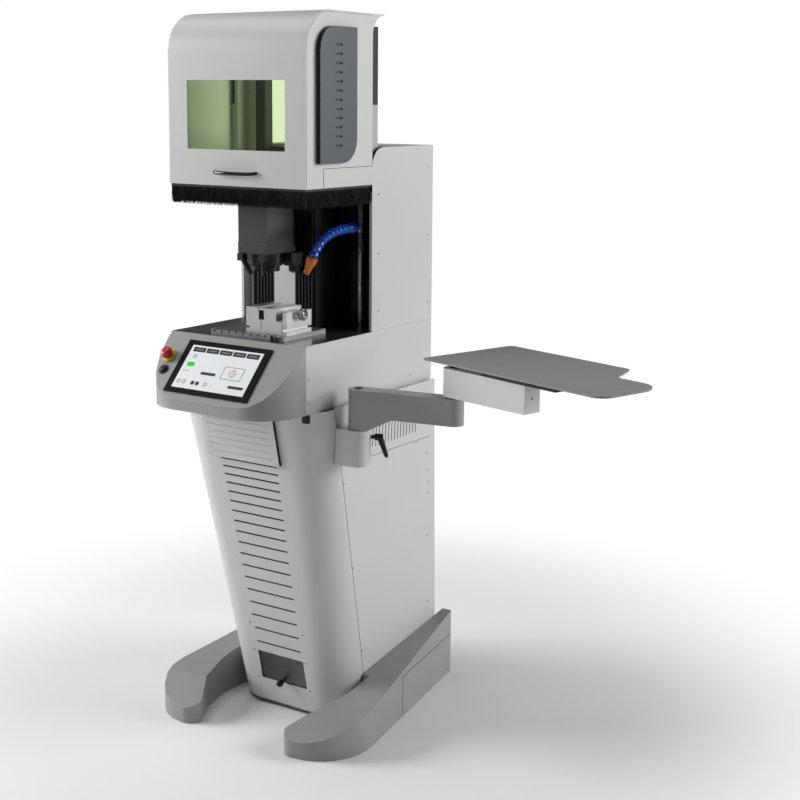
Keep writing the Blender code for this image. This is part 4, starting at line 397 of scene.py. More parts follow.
finishOf = {
    "warmGreyCoat": "front_shell filter_cover side_panel_left side_panel_right rear_panel console_side_left "
                    "console_side_right column_side_left column_side_right rear_cover hood_shell",
    "midGreyCoat": "console_nose",
    "footGreyCoat": "foot_left foot_right",
    # One arm paint in two tones: painted shade on the lower arm, painted light on the bracket and upper arm
    "armGreyCoat": "arm_lower",
    "armPaleCoat": "arm_bracket arm_upper",
    "trayTwoTone": "laptop_tray",
    "drawerSteel": "dust_drawer drawer_runner equipment_shelf base_plate pedestal_top",
    "blackAnodised": "work_table",
    "plateTones": "slotted_plate",
    "machinedSteel": "vise_base vise_jaw",
    "mastTones": "hood_mast_left hood_mast_right",
    "polishedChrome": "hood_rail_left hood_rail_right vise_screw",
    "blackMoulding": "start_button power_inlet switch_rocker drawer_knob clamp_lever scan_lens head_carriage "
                     "pointer_left pointer_right",
    "blackPanel": "back_panel",
    "bezelBlack": "screen_bezel",
    "blackGloss": "hood_handle",
    "charcoalCast": "scan_head laser_source power_supply lift_drive",
    "slideTwoTone": "slide_column",
    "safetyYellow": "stop_collar",
    "stopRed": "stop_button",
    "insetTwoTone": "hood_inset_left hood_inset_right",
    "laserPane": "hood_window",
    "screenWhite": "display",
    "hoseBlue": "air_hose",
    "nozzleOrange": "hose_nozzle",
    "brushBristle": "brush_front brush_left brush_right",
}


def newTree(name, **sockets):
    # A geometry tree with one mesh in, the named inputs after it, and one mesh out
    tree = bpy.data.node_groups.new(name, "GeometryNodeTree")
    for label, kind in {"Geometry": "Geometry", **sockets}.items():
        tree.interface.new_socket(name=label, in_out="INPUT", socket_type="NodeSocket" + kind)
    tree.interface.new_socket(name="Geometry", in_out="OUTPUT", socket_type="NodeSocketGeometry")
    return tree, put(tree, "NodeGroupInput")


def scatter(tree, given, points, instance, rotation, scale=(1.0, 1.0, 1.0)):
    # Ends a tree: one instance on each point, made into faces of the given material
    inputs = {"Points": points, "Instance": instance, "Rotation": rotation, "Scale": scale}
    placed = put(tree, "GeometryNodeInstanceOnPoints", inputs)[0]
    solid = put(tree, "GeometryNodeRealizeInstances", {"Geometry": placed})[0]
    dressed = put(tree, "GeometryNodeSetMaterial", {"Geometry": solid, "Material": given["Material"]})
    put(tree, "NodeGroupOutput", {0: dressed[0]})
    return tree


def roundedFacets():
    # Joins a node's loose triangles and shades its curved faces as one surface
    tree, given = newTree("roundedFacets", Crease="Float")
    joined = put(tree, "GeometryNodeMergeByDistance", {"Geometry": given["Geometry"], "Distance": 0.00002})[0]
    plain = put(tree, "GeometryNodeRemoveAttribute", {"Geometry": joined, "Name": "custom_normal"})[0]
    smooth = put(tree, "GeometryNodeSetShadeSmooth", {"Geometry": plain, "Shade Smooth": True}, domain="FACE")[0]
    angle = put(tree, "GeometryNodeInputMeshEdgeAngle")[0]
    sharp = put(tree, "FunctionNodeCompare", {0: angle, 1: given["Crease"]}, operation="GREATER_THAN")[0]
    inputs = {"Geometry": smooth, "Selection": sharp, "Shade Smooth": False}
    put(tree, "NodeGroupOutput", {0: put(tree, "GeometryNodeSetShadeSmooth", inputs, domain="EDGE")[0]})
    return tree


def setInput(modifier, label, value):
    for item in modifier.node_group.interface.items_tree:
        if item.item_type == "SOCKET" and item.in_out == "INPUT" and item.name == label:
            modifier[item.identifier] = value


facetTree = roundedFacets()
for finishName, nodeNames in finishOf.items():
    for nodeName in nodeNames.split():
        node = nodes[nodeName]
        for slotIndex in range(len(node.material_slots)):
            node.material_slots[slotIndex].link = "OBJECT"
            node.material_slots[slotIndex].material = finishes[finishName]
        soften = node.modifiers.new("roundedFacets", "NODES")
        soften.node_group = facetTree
        setInput(soften, "Crease", creaseAngle)
        node.modifiers.new("evenNormals", "WEIGHTED_NORMAL").keep_sharp = True
print("finishes given to the CAD nodes")


# Mesh helpers
def keep(name, mesh, body, stands=()):
    mesh.shade_smooth()
    mesh.set_sharp_from_angle(angle=creaseAngle)
    piece = linked(name, mesh)
    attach(piece, body)
    if stands:
        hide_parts(*stands)
    return piece


def settle(name, solid, finish, body="cabinet", bevel=0.0, stands=()):
    # Turns a built solid into a piece with even normals and, where asked, rounded edges
    bmesh.ops.remove_doubles(solid, verts=solid.verts, dist=0.000005)
    bmesh.ops.recalc_face_normals(solid, faces=solid.faces)
    mesh = bpy.data.meshes.new(name)
    solid.to_mesh(mesh)
    solid.free()
    mesh.materials.append(finishes[finish])
    piece = keep(name, mesh, body, stands)
    if bevel:
        rounding = piece.modifiers.new("rounding", "BEVEL")
        rounding.width, rounding.segments = bevel, 2
        rounding.limit_method, rounding.angle_limit = "ANGLE", creaseAngle


def loft(solid, rings, closed=False):
    # Skins a row of rings of points, with a cap at each end unless the row closes on itself
    rows = [[solid.verts.new(point) for point in ring] for ring in rings]
    if not closed:
        solid.faces.new(rows[0][::-1])
        solid.faces.new(rows[-1])
    for near, far in zip(rows, rows[1:] + (rows[:1] if closed else [])):
        for index in range(len(near)):
            following = (index + 1) % len(near)
            solid.faces.new((near[index], near[following], far[following], far[index]))


def loftPiece(name, rings, finish, body="cabinet", stands=()):
    solid = bmesh.new()
    loft(solid, rings)
    settle(name, solid, finish, body, 0.0, stands)


def lifted(outline, place, level):
    # A flat outline at a height over its own plane: place turns plane points into real ones
    return [place @ Vector((x, y, level)) for x, y in outline]


def slab(solid, outline, place, low, high):
    loft(solid, [lifted(outline, place, level) for level in (low, high)])


def slabPiece(name, outlines, place, low, high, finish, body="cabinet", bevel=0.0, stands=()):
    solid = bmesh.new()
    for outline in outlines:
        slab(solid, outline, place, low, high)
    settle(name, solid, finish, body, bevel, stands)


def frameSlab(solid, outer, inner, place, low, high):
    # A flat band between two outlines with the same number of points
    corners = ((outer, low), (outer, high), (inner, high), (inner, low))
    loft(solid, [lifted(outline, place, level) for outline, level in corners], True)


def roundedRect(centre, width, height, radius=0.0, steps=4):
    points = []
    for turn, (signX, signY) in enumerate(((1, 1), (-1, 1), (-1, -1), (1, -1))):
        corner = (centre[0] + signX * (width / 2 - radius), centre[1] + signY * (height / 2 - radius))
        if not radius:
            points.append(corner)
            continue
        for step in range(steps + 1):
            angle = math.pi / 2 * (turn + step / steps)
            points.append((corner[0] + radius * math.cos(angle), corner[1] + radius * math.sin(angle)))
    return points


def ringPoints(centre, radius, count=24, squash=1.0):
    turns = [2 * math.pi * step / count for step in range(count)]
    return [(centre[0] + radius * math.cos(turn), centre[1] + radius * squash * math.sin(turn)) for turn in turns]


def ringSlab(solid, place, outer, inner, low, high, count):
    frameSlab(solid, ringPoints((0, 0), outer, count), ringPoints((0, 0), inner, count), place, low, high)


def lathe(solid, profile, place, sides=24):
    # Turns (radius, height) points about the place's own Z axis, closing each end on the axis
    rows = []
    for radius, height in profile:
        ring = ringPoints((0.0, 0.0), radius, sides) if radius else [(0.0, 0.0)]
        rows.append([solid.verts.new(point) for point in lifted(ring, place, height)])
    for low, high in zip(rows, rows[1:]):
        for side in range(sides):
            following = (side + 1) % sides
            corners = [low[side % len(low)], low[following % len(low)], high[following % len(high)],
                       high[side % len(high)]]
            solid.faces.new(list(dict.fromkeys(corners)))


def lathePiece(name, profile, places, finish, body="cabinet", sides=24):
    solid = bmesh.new()
    for place in places:
        lathe(solid, profile, place, sides)
    settle(name, solid, finish, body)


def planeAt(origin, across, up):
    # A placing matrix whose X runs across, Y runs up and Z stands out of the face
    first = Vector(across).normalized()
    out = first.cross(Vector(up)).normalized()
    return Matrix.Translation(origin) @ Matrix((first, out.cross(first), out)).transposed().to_4x4()


def levelAt(x, y, z=0.0):
    return Matrix.Translation(at(x, y, z))


def sideFace(side, x):
    # The face of a flank at a distance x from the middle: plane X is Y, plane Y is Z
    return planeAt((side * x, hoodFront, 0.0), (0, side, 0), (0, 0, 1))


def flip(side, outline):
    return outline if side > 0 else [(-x, y) for x, y in reversed(outline)]


def ribbon(name, path, width, place, body="cabinet", half=0.0002):
    # A hairline strip that follows a path drawn on a flat face
    rings = []
    for point, before, after in zip(path, path[:1] + path, path[1:] + path[-1:]):
        along = (Vector(after) - Vector(before)).normalized() * width / 2
        rings.append([place @ Vector((point[0] - way * along.y, point[1] + way * along.x, level))
                      for way, level in ((-1, -half), (1, -half), (1, half), (-1, half))])
    loftPiece(name, rings, "darkGap", body)


def grow(name, tree, finish, body, values, points, edges=(), facing=(), widths=()):
    # Runs a geometry tree on start points and keeps the result as a plain mesh on one body
    seed = bpy.data.meshes.new(name)
    seed.from_pydata([tuple(point) for point in points], edges, [])
    if facing:
        layer = seed.attributes.new("facing", "FLOAT_VECTOR", "POINT")
        layer.data.foreach_set("vector", [part for way in facing for part in way])
    if widths:
        seed.attributes.new("width", "FLOAT", "POINT").data.foreach_set("value", widths)
    carrier = linked(name + "Seed", seed)
    run = carrier.modifiers.new(name, "NODES")
    run.node_group = tree
    for label, value in {**values, "Material": finishes[finish]}.items():
        setInput(run, label, value)
    grown = bpy.data.meshes.new_from_object(carrier.evaluated_get(bpy.context.evaluated_depsgraph_get()))
    grown.name = name
    bpy.data.objects.remove(carrier)
    keep(name, grown, body)


# Brush skirt: rows of nylon bristles under the hood's edge
strandSet = {"long": 0.045, "radius": 0.00055, "tip": 0.00012, "tilt": 0.05, "lean": 0.13, "clumps": 150.0,
             "shorter": 0.84}
brushSet = {"pitch": 0.0007, "rows": 6, "depth": 0.9, "endGap": 0.0015, "stagger": 0.00015, "seed": 11,
            "lap": 0.002, "bevel": 0.0004, "curtainEnd": 0.007, "curtainThick": 0.0007, "curtainGap": 0.002}


def bristleTree(long, radius, tip, tilt, lean, clumps, shorter):
    tree, given = newTree("bristleRows", Count="Int", Seed="Int", Material="Material")
    line = put(tree, "GeometryNodeMeshToCurve", {"Mesh": given["Geometry"]})[0]
    dots = put(tree, "GeometryNodeResampleCurve", {"Curve": line, "Count": given["Count"]})[0]
    clump = noise(tree, put(tree, "GeometryNodeInputPosition")[0], clumps, 2.0)
    spread = {0: (-tilt,) * 3, 1: (tilt,) * 3, "Seed": given["Seed"]}
    swing = put(tree, "FunctionNodeRandomValue", spread, data_type="FLOAT_VECTOR")[0]
    together = vector(tree, -tilt, ramp(tree, clump, -lean, lean, 0.3, 0.7), 0.0)
    angles = put(tree, "ShaderNodeVectorMath", {0: swing, 1: together}, operation="ADD")[0]
    cone = {"Vertices": 4, "Radius Top": radius, "Radius Bottom": tip, "Depth": long}
    strand = put(tree, "GeometryNodeMeshCone", cone)[0]
    hung = put(tree, "GeometryNodeTransform", {"Geometry": strand, "Translation": (0.0, 0.0, -long)})[0]
    size = put(tree, "FunctionNodeRandomValue", {2: shorter, 3: 1.0, "Seed": given["Seed"]}, data_type="FLOAT")[1]
    return scatter(tree, given, dots, hung, angles, vector(tree, 1.0, 1.0, size))


def makeBrushes(pitch, rows, depth, endGap, stagger, seed, lap, bevel, curtainEnd, curtainThick, curtainGap):
    tree = bristleTree(**strandSet)
    for name, across in (("brush_front", 0), ("brush_left", 1), ("brush_right", 1)):
        low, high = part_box(name)
        word, thin = name.split("_")[1].capitalize(), 1 - across
        rootZ = low.z + strandSet["long"]
        points = []
        for row in range(rows):
            share = 0.5 + ((row + 0.5) / rows - 0.5) * depth
            for mark in (low[across] + endGap + row * stagger, high[across] - endGap):
                spot = [0.0, 0.0, rootZ]
                spot[across], spot[thin] = mark, low[thin] + (high[thin] - low[thin]) * share
                points.append(spot)
        values = {"Count": int((high[across] - low[across]) / pitch), "Seed": seed + across}
        edges = [(first, first + 1) for first in range(0, 2 * rows, 2)]
        grow("bristles" + word, tree, "brushBristle", "hood", values, points, edges)
        place = Matrix.Translation(((low.x + high.x) / 2, (low.y + high.y) / 2, 0.0))
        size = [high.x - low.x, high.y - low.y]
        slabPiece("brushBacking" + word, [roundedRect((0, 0), *size)], place, rootZ - lap, high.z,
                  "blackMoulding", "hood", bevel, [name])
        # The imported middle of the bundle, which lets no light through
        size[across] -= curtainGap
        size[thin] = curtainThick
        slabPiece("brushCurtain" + word, [roundedRect((0, 0), *size)], place, low.z + curtainEnd, rootZ,
                  "brushBristle", "hood")


makeBrushes(**brushSet)
print("brush skirt done")

# Screws: one geometry tree, grown once for each body. Steps are (rise, scale) of the head's upper face
screwSet = {
    "sides": 18, "steps": ((0.0003, 0.82), (0.00002, 0.58), (-0.0008, 1.0)), "size": (0.0024, 0.0011),
    "hatchY": 0.557,
    "upper": [(0.3033, 1.3781), (0.3033, 1.2283), (0.3033, 1.0823), (0.535, 1.44), (0.535, 1.26), (0.535, 1.08),
              (0.0096, 0.9502), (0.0096, 0.8933), (0.4522, 0.8955)],
    "flank": [(0.5344, 0.6642), (0.5468, 0.6155), (0.5518, 0.5813), (0.5545, 0.5489), (0.5615, 0.4261),
              (0.5845, 0.2270), (0.4781, 0.7058), (0.1494, 0.6646), (0.2067, 0.4288), (0.2670, 0.1837)],
    "front": [(-0.0876, 0.2407), (0.0876, 0.2422), (-0.0886, 0.1590), (0.0844, 0.1591), (-0.0889, 0.0768),
              (0.0838, 0.0768)],
    "rear": [(0.165, 0.82), (0.158, 0.55), (0.150, 0.06)],
    "hatch": [(0.18, 1.45), (0.18, 1.24), (0.18, 1.06), (0.19, 0.89)],
}
pedestalSet = {"half": 0.226, "taper": 0.052, "ledge": 0.87, "front": 0.0066, "frontLean": 0.2228,
               "rear": 0.5525, "rearLean": 0.1065}


def flankX(z):
    return pedestalSet["half"] - (pedestalSet["ledge"] - z) * pedestalSet["taper"]


def frontY(z):
    return pedestalSet["front"] + (pedestalSet["ledge"] - z) * pedestalSet["frontLean"]


def rearY(z):
    return pedestalSet["rear"] + (pedestalSet["ledge"] - z) * pedestalSet["rearLean"]


def screwTree():
    tree, given = newTree("screwHeads", Radius="Float", Height="Float", Material="Material")
    inputs = {"Vertices": screwSet["sides"], "Radius": given["Radius"], "Depth": given["Height"]}
    head = put(tree, "GeometryNodeMeshCylinder", inputs)
    mesh, top = head["Mesh"], head["Top"]
    for rise, scale in screwSet["steps"]:
        step = put(tree, "GeometryNodeExtrudeMesh", {"Mesh": mesh, "Selection": top, "Offset Scale": rise})
        top = step["Top"]
        mesh = put(tree, "GeometryNodeScaleElements", {"Geometry": step[0], "Selection": top, "Scale": scale})[0]
    way = put(tree, "GeometryNodeInputNamedAttribute", {"Name": "facing"}, data_type="FLOAT_VECTOR")[0]
    turn = put(tree, "FunctionNodeAlignRotationToVector", {"Vector": way}, axis="Z")[0]
    return scatter(tree, given, given["Geometry"], mesh, turn)


screwHeads = screwTree()


def screwsOn(name, spots, size, body="cabinet", finish="screwZinc"):
    # spots are (point, way out) pairs, size is a head's radius and height
    points, ways = zip(*spots)
    grow(name, screwHeads, finish, body, dict(zip(("Radius", "Height"), size)), points,
         facing=[Vector(way).normalized() for way in ways])


def cabinetScrews():
    spots = [(at(x, frontY(z), z), (0, -1, -pedestalSet["frontLean"])) for x, z in screwSet["front"]]
    for side, word in bothSides:
        spots += [(at(side * bodyHalf, y, z), (side, 0, 0)) for y, z in screwSet["upper"]]
        spots += [(at(side * flankX(z), y, z), (side, 0, -pedestalSet["taper"])) for y, z in screwSet["flank"]]
        spots += [(at(side * x, rearY(z), z), (0, 1, pedestalSet["rearLean"])) for x, z in screwSet["rear"]]
        spots += [(at(side * x, screwSet["hatchY"], z), (0, 1, 0)) for x, z in screwSet["hatch"]]
    screwsOn("cabinetScrews", spots, screwSet["size"])


cabinetScrews()
print("cabinet screws done")

# Hood trim: bowed handle, the line where the front sheet ends, and seam strips low on both sides
handleSet = {"half": 0.0685, "reach": 0.0195, "sag": 0.0022, "wide": 0.0040, "tall": 0.0048, "stations": 28,
             "sides": 14, "blunt": 0.72, "skew": 0.45, "ends": 0.80, "sunk": 0.0002}
wrapSet = {"inset": 0.0042, "radius": 0.095, "bottom": 1.4055, "top": 1.821, "rear": 0.2725, "width": 0.0007,
           "steps": 12}
stripSet = {"near": 0.070, "far": 0.2735, "low": 1.4045, "high": 1.4505, "gap": 0.0011, "proud": 0.0007,
            "finish": "warmGreyCoat", "body": "hood"}
seamSet = {"sunk": -0.0004, "proud": 0.0002, "plateSunk": -0.0003, "bevel": 0.0002}


def quarter(centre, radius, steps):
    # Points of the front upper quarter of a circle, from its front to its top
    turns = [math.pi - math.pi / 2 * step / steps for step in range(steps + 1)]
    return [(centre[0] + radius * math.cos(turn), centre[1] + radius * math.sin(turn)) for turn in turns]


def bowedHandle(half, reach, sag, wide, tall, stations, sides, blunt, skew, ends, sunk):
    # A bar lofted along a bow, thinner at its ends, that meets the hood at both ends
    low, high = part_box("hood_handle")
    rings = []
    for station in range(stations + 1):
        turn = math.pi * station / stations
        rise = math.sin(turn) ** blunt
        centre = Vector((-math.cos(turn) * (half - wide), high.y + sunk - (reach - wide) * rise,
                         (low.z + high.z) / 2 - sag * rise))
        ahead = Vector((math.sin(turn), -math.cos(turn) * skew, 0.0)).normalized()
        section = ringPoints((0.0, 0.0), wide * (ends + (1 - ends) * rise), sides, tall / wide)
        rings.append([centre + Vector((ahead.y * x, -ahead.x * x, z)) for x, z in section])
    loftPiece("bowedHandle", rings, "blackGloss", "hood", ["hood_handle"])


def wrapSeams(inset, radius, bottom, top, rear, width, steps):
    path = [(inset, bottom), *quarter((radius, top - radius), radius - inset, steps), (rear, top - inset)]
    for side, word in bothSides:
        ribbon("wrapSeam" + word, flip(side, path), width, sideFace(side, bodyHalf), "hood")


def seamedPlate(names, side, place, near, far, low, high, gap, proud, finish, body="cabinet"):
    # A thin plate on a flank, with the dark line of its seam along the near and upper edges
    for name, trim, bottom, top, tone, bevel in (
            (names[0], 0.0, seamSet["sunk"], seamSet["proud"], "darkGap", 0.0),
            (names[1], gap, seamSet["plateSunk"], proud, finish, seamSet["bevel"])):
        middle = ((near + far + trim) / 2, (low + high - trim) / 2)
        outline = flip(side, roundedRect(middle, far - near - trim, high - low - trim))
        slabPiece(name, [outline], place, bottom, top, tone, body, bevel)


bowedHandle(**handleSet)
wrapSeams(**wrapSet)
for side, word in bothSides:
    seamedPlate(("hoodStripSeam" + word, "hoodStrip" + word), side, sideFace(side, bodyHalf), **stripSet)

# Black sheet behind the rods and posts, and a black strip of painted shade along the column's edge, round its top
# corner
shroudSet = {"inner": 0.1500, "outer": 0.2030, "behind": 0.3175, "thick": 0.001, "bottom": 1.156, "top": 1.440}
edgeShadeSet = {"thick": 0.0001, "inner": 0.2040, "outer": 0.2112, "corner": 0.048, "front": 0.2743, "top": 1.496,
             "bottom": 1.385, "lap": 0.030, "steps": 5}


def railShrouds(inner, outer, behind, thick, bottom, top):
    for side, word in bothSides:
        outline = roundedRect((side * (inner + outer) / 2, behind), outer - inner, thick)
        slabPiece("railShroud" + word, [outline], levelAt(0.0, 0.0), bottom, top, "blackPanel")


def columnEdgeShades(thick, inner, outer, corner, front, top, bottom, lap, steps):
    # A black strip of painted shade along the column's edge and round its top corner
    centre = (front + corner, top - corner)
    path = [(front, bottom), *quarter(centre, corner, steps), (centre[0] + lap, top)]
    outward = [(-1.0, 0.0), *quarter((0.0, 0.0), 1.0, steps), (0.0, 1.0)]
    section = ((inner, -thick), (outer, -thick), (outer, thick), (inner, thick))
    for side, word in bothSides:
        rings = [[at(side * x, y + wayY * out, z + wayZ * out) for x, out in section]
                 for (y, z), (wayY, wayZ) in zip(path, outward)]
        loftPiece("columnEdgeShade" + word, rings, "blackMoulding")


railShrouds(**shroudSet)
columnEdgeShades(**edgeShadeSet)
print("hood strips and edgeShades done")

# Console: the picture on the display, and the trim round the buttons
slantSet = {"lipY": -0.130, "lipZ": 0.892, "tableZ": 1.032}
screenSet = {"middle": (-0.005, 0.0936), "width": 0.224, "height": 0.124, "face": 0.0033}
tabSpots = [(0.123 + index * 0.1885, 0.905) for index in range(5)]
jobSpot = [(0.725, 0.46)]
# Rows of marks: places in shares of the display, size, hole, and how low and high over the display's face.
# One number of a size is a circle's radius, more are a rectangle's width, height and corner radius
screenMarks = {
    "screenTabs": ("screenSlate", [(tabSpots, (0.0390, 0.0135, 0.0015)),
                                   ([(0.405, 0.385), (0.855, 0.165)], (0.046, 0.0078, 0.0008)),
                                   ([(0.26, 0.145), (0.325, 0.145)], (0.0058,))]),
    "screenGo": ("screenGreen", [([(0.105, 0.555)], (0.0225, 0.0125, 0.0015))]),
    "screenLines": ("screenGrey", [(tabSpots, (0.0250, 0.0022, 0.0008), None, 0.00015, 0.00035),
                                   ([(0.085, 0.405)], (0.020, 0.0016, 0.0005))]),
    "screenMarks": ("screenSlate", [([(0.525, 0.145)], (0.0042, 0.0013, 0.0003)),
                                    ([(0.105, 0.745)], (0.0052,), (0.003744,)),
                                    ([(0.062, 0.145), (0.135, 0.145), (0.435, 0.145)], (0.0055,), (0.00396,)),
                                    (jobSpot, (0.062, 0.036, 0.002), (0.0596, 0.0336, 0.0012))]),
    "screenJob": ("screenRed", [(jobSpot, (0.0098,), (0.0084,)),
                                (jobSpot, (0.030, 0.0007), None, -0.0001, 0.0002),
                                (jobSpot, (0.0007, 0.026), None, -0.0001, 0.0002)]),
}
buttonSet = {"stop": (-0.1745, 0.1161), "start": (-0.171, 0.0764), "ring": (0.0135, 0.0098, 0.0001, 0.0022, 32),
             "bevel": 0.0006,
             "crown": ((0.0, 0.0231), (0.0118, 0.0231), (0.0122, 0.0235), (0.0108, 0.0249), (0.0072, 0.0259),
                       (0.0, 0.0263)),
             "cap": ((0.0, 0.0055), (0.0072, 0.0055), (0.0072, 0.0064), (0.0060, 0.0068), (0.0, 0.0062))}


def slantPlace(x, y):
    slope = (0, -slantSet["lipY"], slantSet["tableZ"] - slantSet["lipZ"])
    return planeAt(at(0.0, slantSet["lipY"], slantSet["lipZ"]), (1, 0, 0), slope) @ Matrix.Translation((x, y, 0.0))


def screenPicture(middle, width, height, face):
    place = slantPlace(middle[0] - width / 2, middle[1] - height / 2)

    def shape(centre, size):
        return ringPoints(centre, *size) if len(size) == 1 else roundedRect(centre, *size)

    def draw(solid, spots, size, hole=None, low=-0.0001, high=0.00025):
        for x, y in spots:
            centre = (width * x, height * y)
            if hole:
                frameSlab(solid, shape(centre, size), shape(centre, hole), place, face + low, face + high)
            else:
                slab(solid, shape(centre, size), place, face + low, face + high)

    for name, (finish, rows) in screenMarks.items():
        solid = bmesh.new()
        for row in rows:
            draw(solid, *row)
        settle(name, solid, finish)


def buttonTrim(stop, start, ring, bevel, crown, cap):
    collar = bmesh.new()
    ringSlab(collar, slantPlace(*start), *ring)
    settle("startRing", collar, "charcoalCast", bevel=bevel)
    lathePiece("stopCrown", crown, [slantPlace(*stop)], "stopRed", "stop")
    lathePiece("startCap", cap, [slantPlace(*start)], "blackMoulding", "start")


screenPicture(**screenSet)
buttonTrim(**buttonSet)
print("console picture and buttons done")

# Scan head: lens rings, the holder behind the lens, and screws
headSet = {"front": 0.064, "half": 0.046, "lensY": 0.118, "inner": 0.0395, "thick": 0.0016, "bevel": 0.0004,
           "grips": ((1.2290, 0.0412), (1.2225, 0.0414), (1.2160, 0.0412), (1.2095, 0.0408)),
           "glass": ((0.0, 1.1926), (0.0255, 1.1926), (0.0255, 1.1912), (0.014, 1.1901), (0.0, 1.1897)),
           "sideScrews": ((0.075, 1.375), (0.159, 1.375), (0.075, 1.280), (0.159, 1.280)),
           "frontScrews": ((0.038, 0.0, 1.385), (0.038, -0.0015, 1.247)), "screw": (0.0022, 0.001)}
holderSet = {"x": 0.030, "bevel": 0.0012, "blocks": (
    ([(0.135, 1.2345), (0.135, 1.214), (0.150, 1.200), (0.1885, 1.200), (0.1885, 1.2345)], 0.0, 0.036),
    ([(0.160, 1.200), (0.160, 1.186), (0.172, 1.180), (0.1885, 1.180), (0.1885, 1.200)], 0.006, 0.030))}


def headDetails(front, half, lensY, inner, thick, bevel, grips, glass, sideScrews, frontScrews, screw):
    rings, holder = bmesh.new(), bmesh.new()
    for height, outer in grips:
        ringSlab(rings, levelAt(0.0, lensY, height), outer, inner, -thick, thick, 48)
    settle("lensGrips", rings, "charcoalCast", "head", bevel)
    lathePiece("lensGlass", glass, [levelAt(0.0, lensY)], "blackPanel", "head", 32)
    for outline, low, high in holderSet["blocks"]:
        slab(holder, outline, sideFace(1, holderSet["x"]), low, high)
    settle("lensHolder", holder, "blackMoulding", "head", holderSet["bevel"])
    spots = []
    for side, word in bothSides:
        spots += [(at(side * half, y, z), (side, 0, 0)) for y, z in sideScrews]
        spots += [(at(side * x, front + out, z), (0, -1, 0)) for x, out, z in frontScrews]
    screwsOn("headScrews", spots, screw, "head", "charcoalCast")


headDetails(**headSet)

# Vise and slotted plate: jaw faces, scale lines, locating pins, clamp screws and the hand wheel's rim
viseMiddle = 0.086
jawSet = {"bed": 1.0790, "step": 1.1013, "fixedX": 0.040, "movingX": 0.056, "wide": 0.0985, "trim": 0.001,
          "corner": 0.0006, "thick": 0.00015, "sunk": 0.0005}
lineSet = {"xs": (0.0475, 0.1120), "front": 0.0362, "rear": 0.1358, "z": 1.0640, "size": (0.0016, 0.022),
           "half": 0.0003}
pinSet = {"places": ((0.0976, 0.0138), (-0.0920, 0.1990)),
          "profile": ((0.0, 1.0322), (0.0042, 1.0322), (0.0042, 1.0465), (0.0034, 1.0480), (0.0, 1.0484))}
boltSet = {"plate": ((-0.094, 0.030, 1.0443), (-0.094, 0.180, 1.0443), (0.124, 0.030, 1.0443),
                     (0.124, 0.180, 1.0443), (0.017, 0.052, 1.1076), (0.017, 0.120, 1.1076)),
           "jaw": ((0.076, 0.052, 1.1076), (0.076, 0.120, 1.1076)), "size": (0.0034, 0.0006)}
wheelSet = {"x": 0.141, "z": 1.0926, "rim": (0.0150, 0.0112, -0.0002, 0.0005, 40), "bevel": 0.0002,
            "hub": ((0.0, -0.0002), (0.0048, -0.0002), (0.0048, 0.0006), (0.0030, 0.0010), (0.0, 0.0004))}


def jawFaces(bed, step, fixedX, movingX, wide, trim, corner, thick, sunk):
    face = [roundedRect((viseMiddle, (bed + step) / 2), wide, step - bed - trim, corner)]
    slabPiece("jawFaceFixed", face, sideFace(1, fixedX), -sunk, thick, "groundSteel")
    slabPiece("jawFaceMoving", face, sideFace(1, movingX), -thick, sunk, "groundSteel", "jaw")


def viseLines(xs, front, rear, z, size, half):
    lines = bmesh.new()
    for x in xs:
        for y, way in ((front, 1), (rear, -1)):
            slab(lines, roundedRect((0.0, z), *size), planeAt(at(x, y, 0.0), (way, 0, 0), (0, 0, 1)), -half, half)
    settle("viseLines", lines, "darkGap")


def wheelRim(x, z, rim, bevel, hub):
    wheel = bmesh.new()
    axle = planeAt(at(x, viseMiddle, z), (0, 1, 0), (0, 0, 1))
    ringSlab(wheel, axle, *rim)
    lathe(wheel, hub, axle, 20)
    settle("wheelRim", wheel, "polishedChrome", "screw", bevel)


jawFaces(**jawSet)
viseLines(**lineSet)
lathePiece("tablePins", pinSet["profile"], [levelAt(*spot) for spot in pinSet["places"]], "blackMoulding", sides=20)
for key, body in (("plate", "cabinet"), ("jaw", "jaw")):
    screwsOn(key + "Screws", [(at(*spot), (0, 0, 1)) for spot in boltSet[key]], boltSet["size"], body, "groundSteel")
wheelRim(**wheelSet)
print("head and vise details done")

# Pedestal: painted shade behind the slots and along the filter cover's right edge, louvres, filter cover studs, seam
# line under the vents, latch under the console
slotShadeSet = {"count": 18, "bottom": 0.189, "topDrop": 0.159, "topWide": 0.181, "bottomWide": 0.146,
           "tall": 0.0044, "evenShare": 0.67, "near": 0.00025, "deep": 0.0015}
louvreSet = {"count": 7, "bottomDrop": 0.1525, "topDrop": 0.010, "margin": 0.0182, "tall": 0.0025,
             "face": 0.0084, "deep": 0.0034}
# In filterSet, gap outlines the dark strip of painted shade along the filter cover's right edge
filterSet = {"rows": (0.8079, 0.7945, 0.7811, 0.7680, 0.7546, 0.7412, 0.7264), "rowX": -0.109,
             "corners": [(-0.1185, 0.7235), (-0.1185, 0.853), (0.0985, 0.7235), (0.0985, 0.853)],
             "depth": 0.0092, "stud": (0.0015, 0.0004), "shadeLow": -0.0002, "shadeHigh": 0.0003,
             "gap": ((0.7185, 0.0008), (0.8580, 0.0008), (0.8580, 0.0084), (0.7185, 0.0084))}
flankSet = {"seamY": 0.0970, "seamLean": 0.2438, "seamZ": (0.866, 0.020), "width": 0.0012,
            "ventSeam": ((0.225, 0.7135), (0.543, 0.7115)), "out": 0.0003, "tall": 0.0006}
latchSet = {"x": 0.207, "y": 0.006, "size": (0.018, 0.012, 0.002), "low": 0.8455, "high": 0.8648, "bevel": 0.0008}
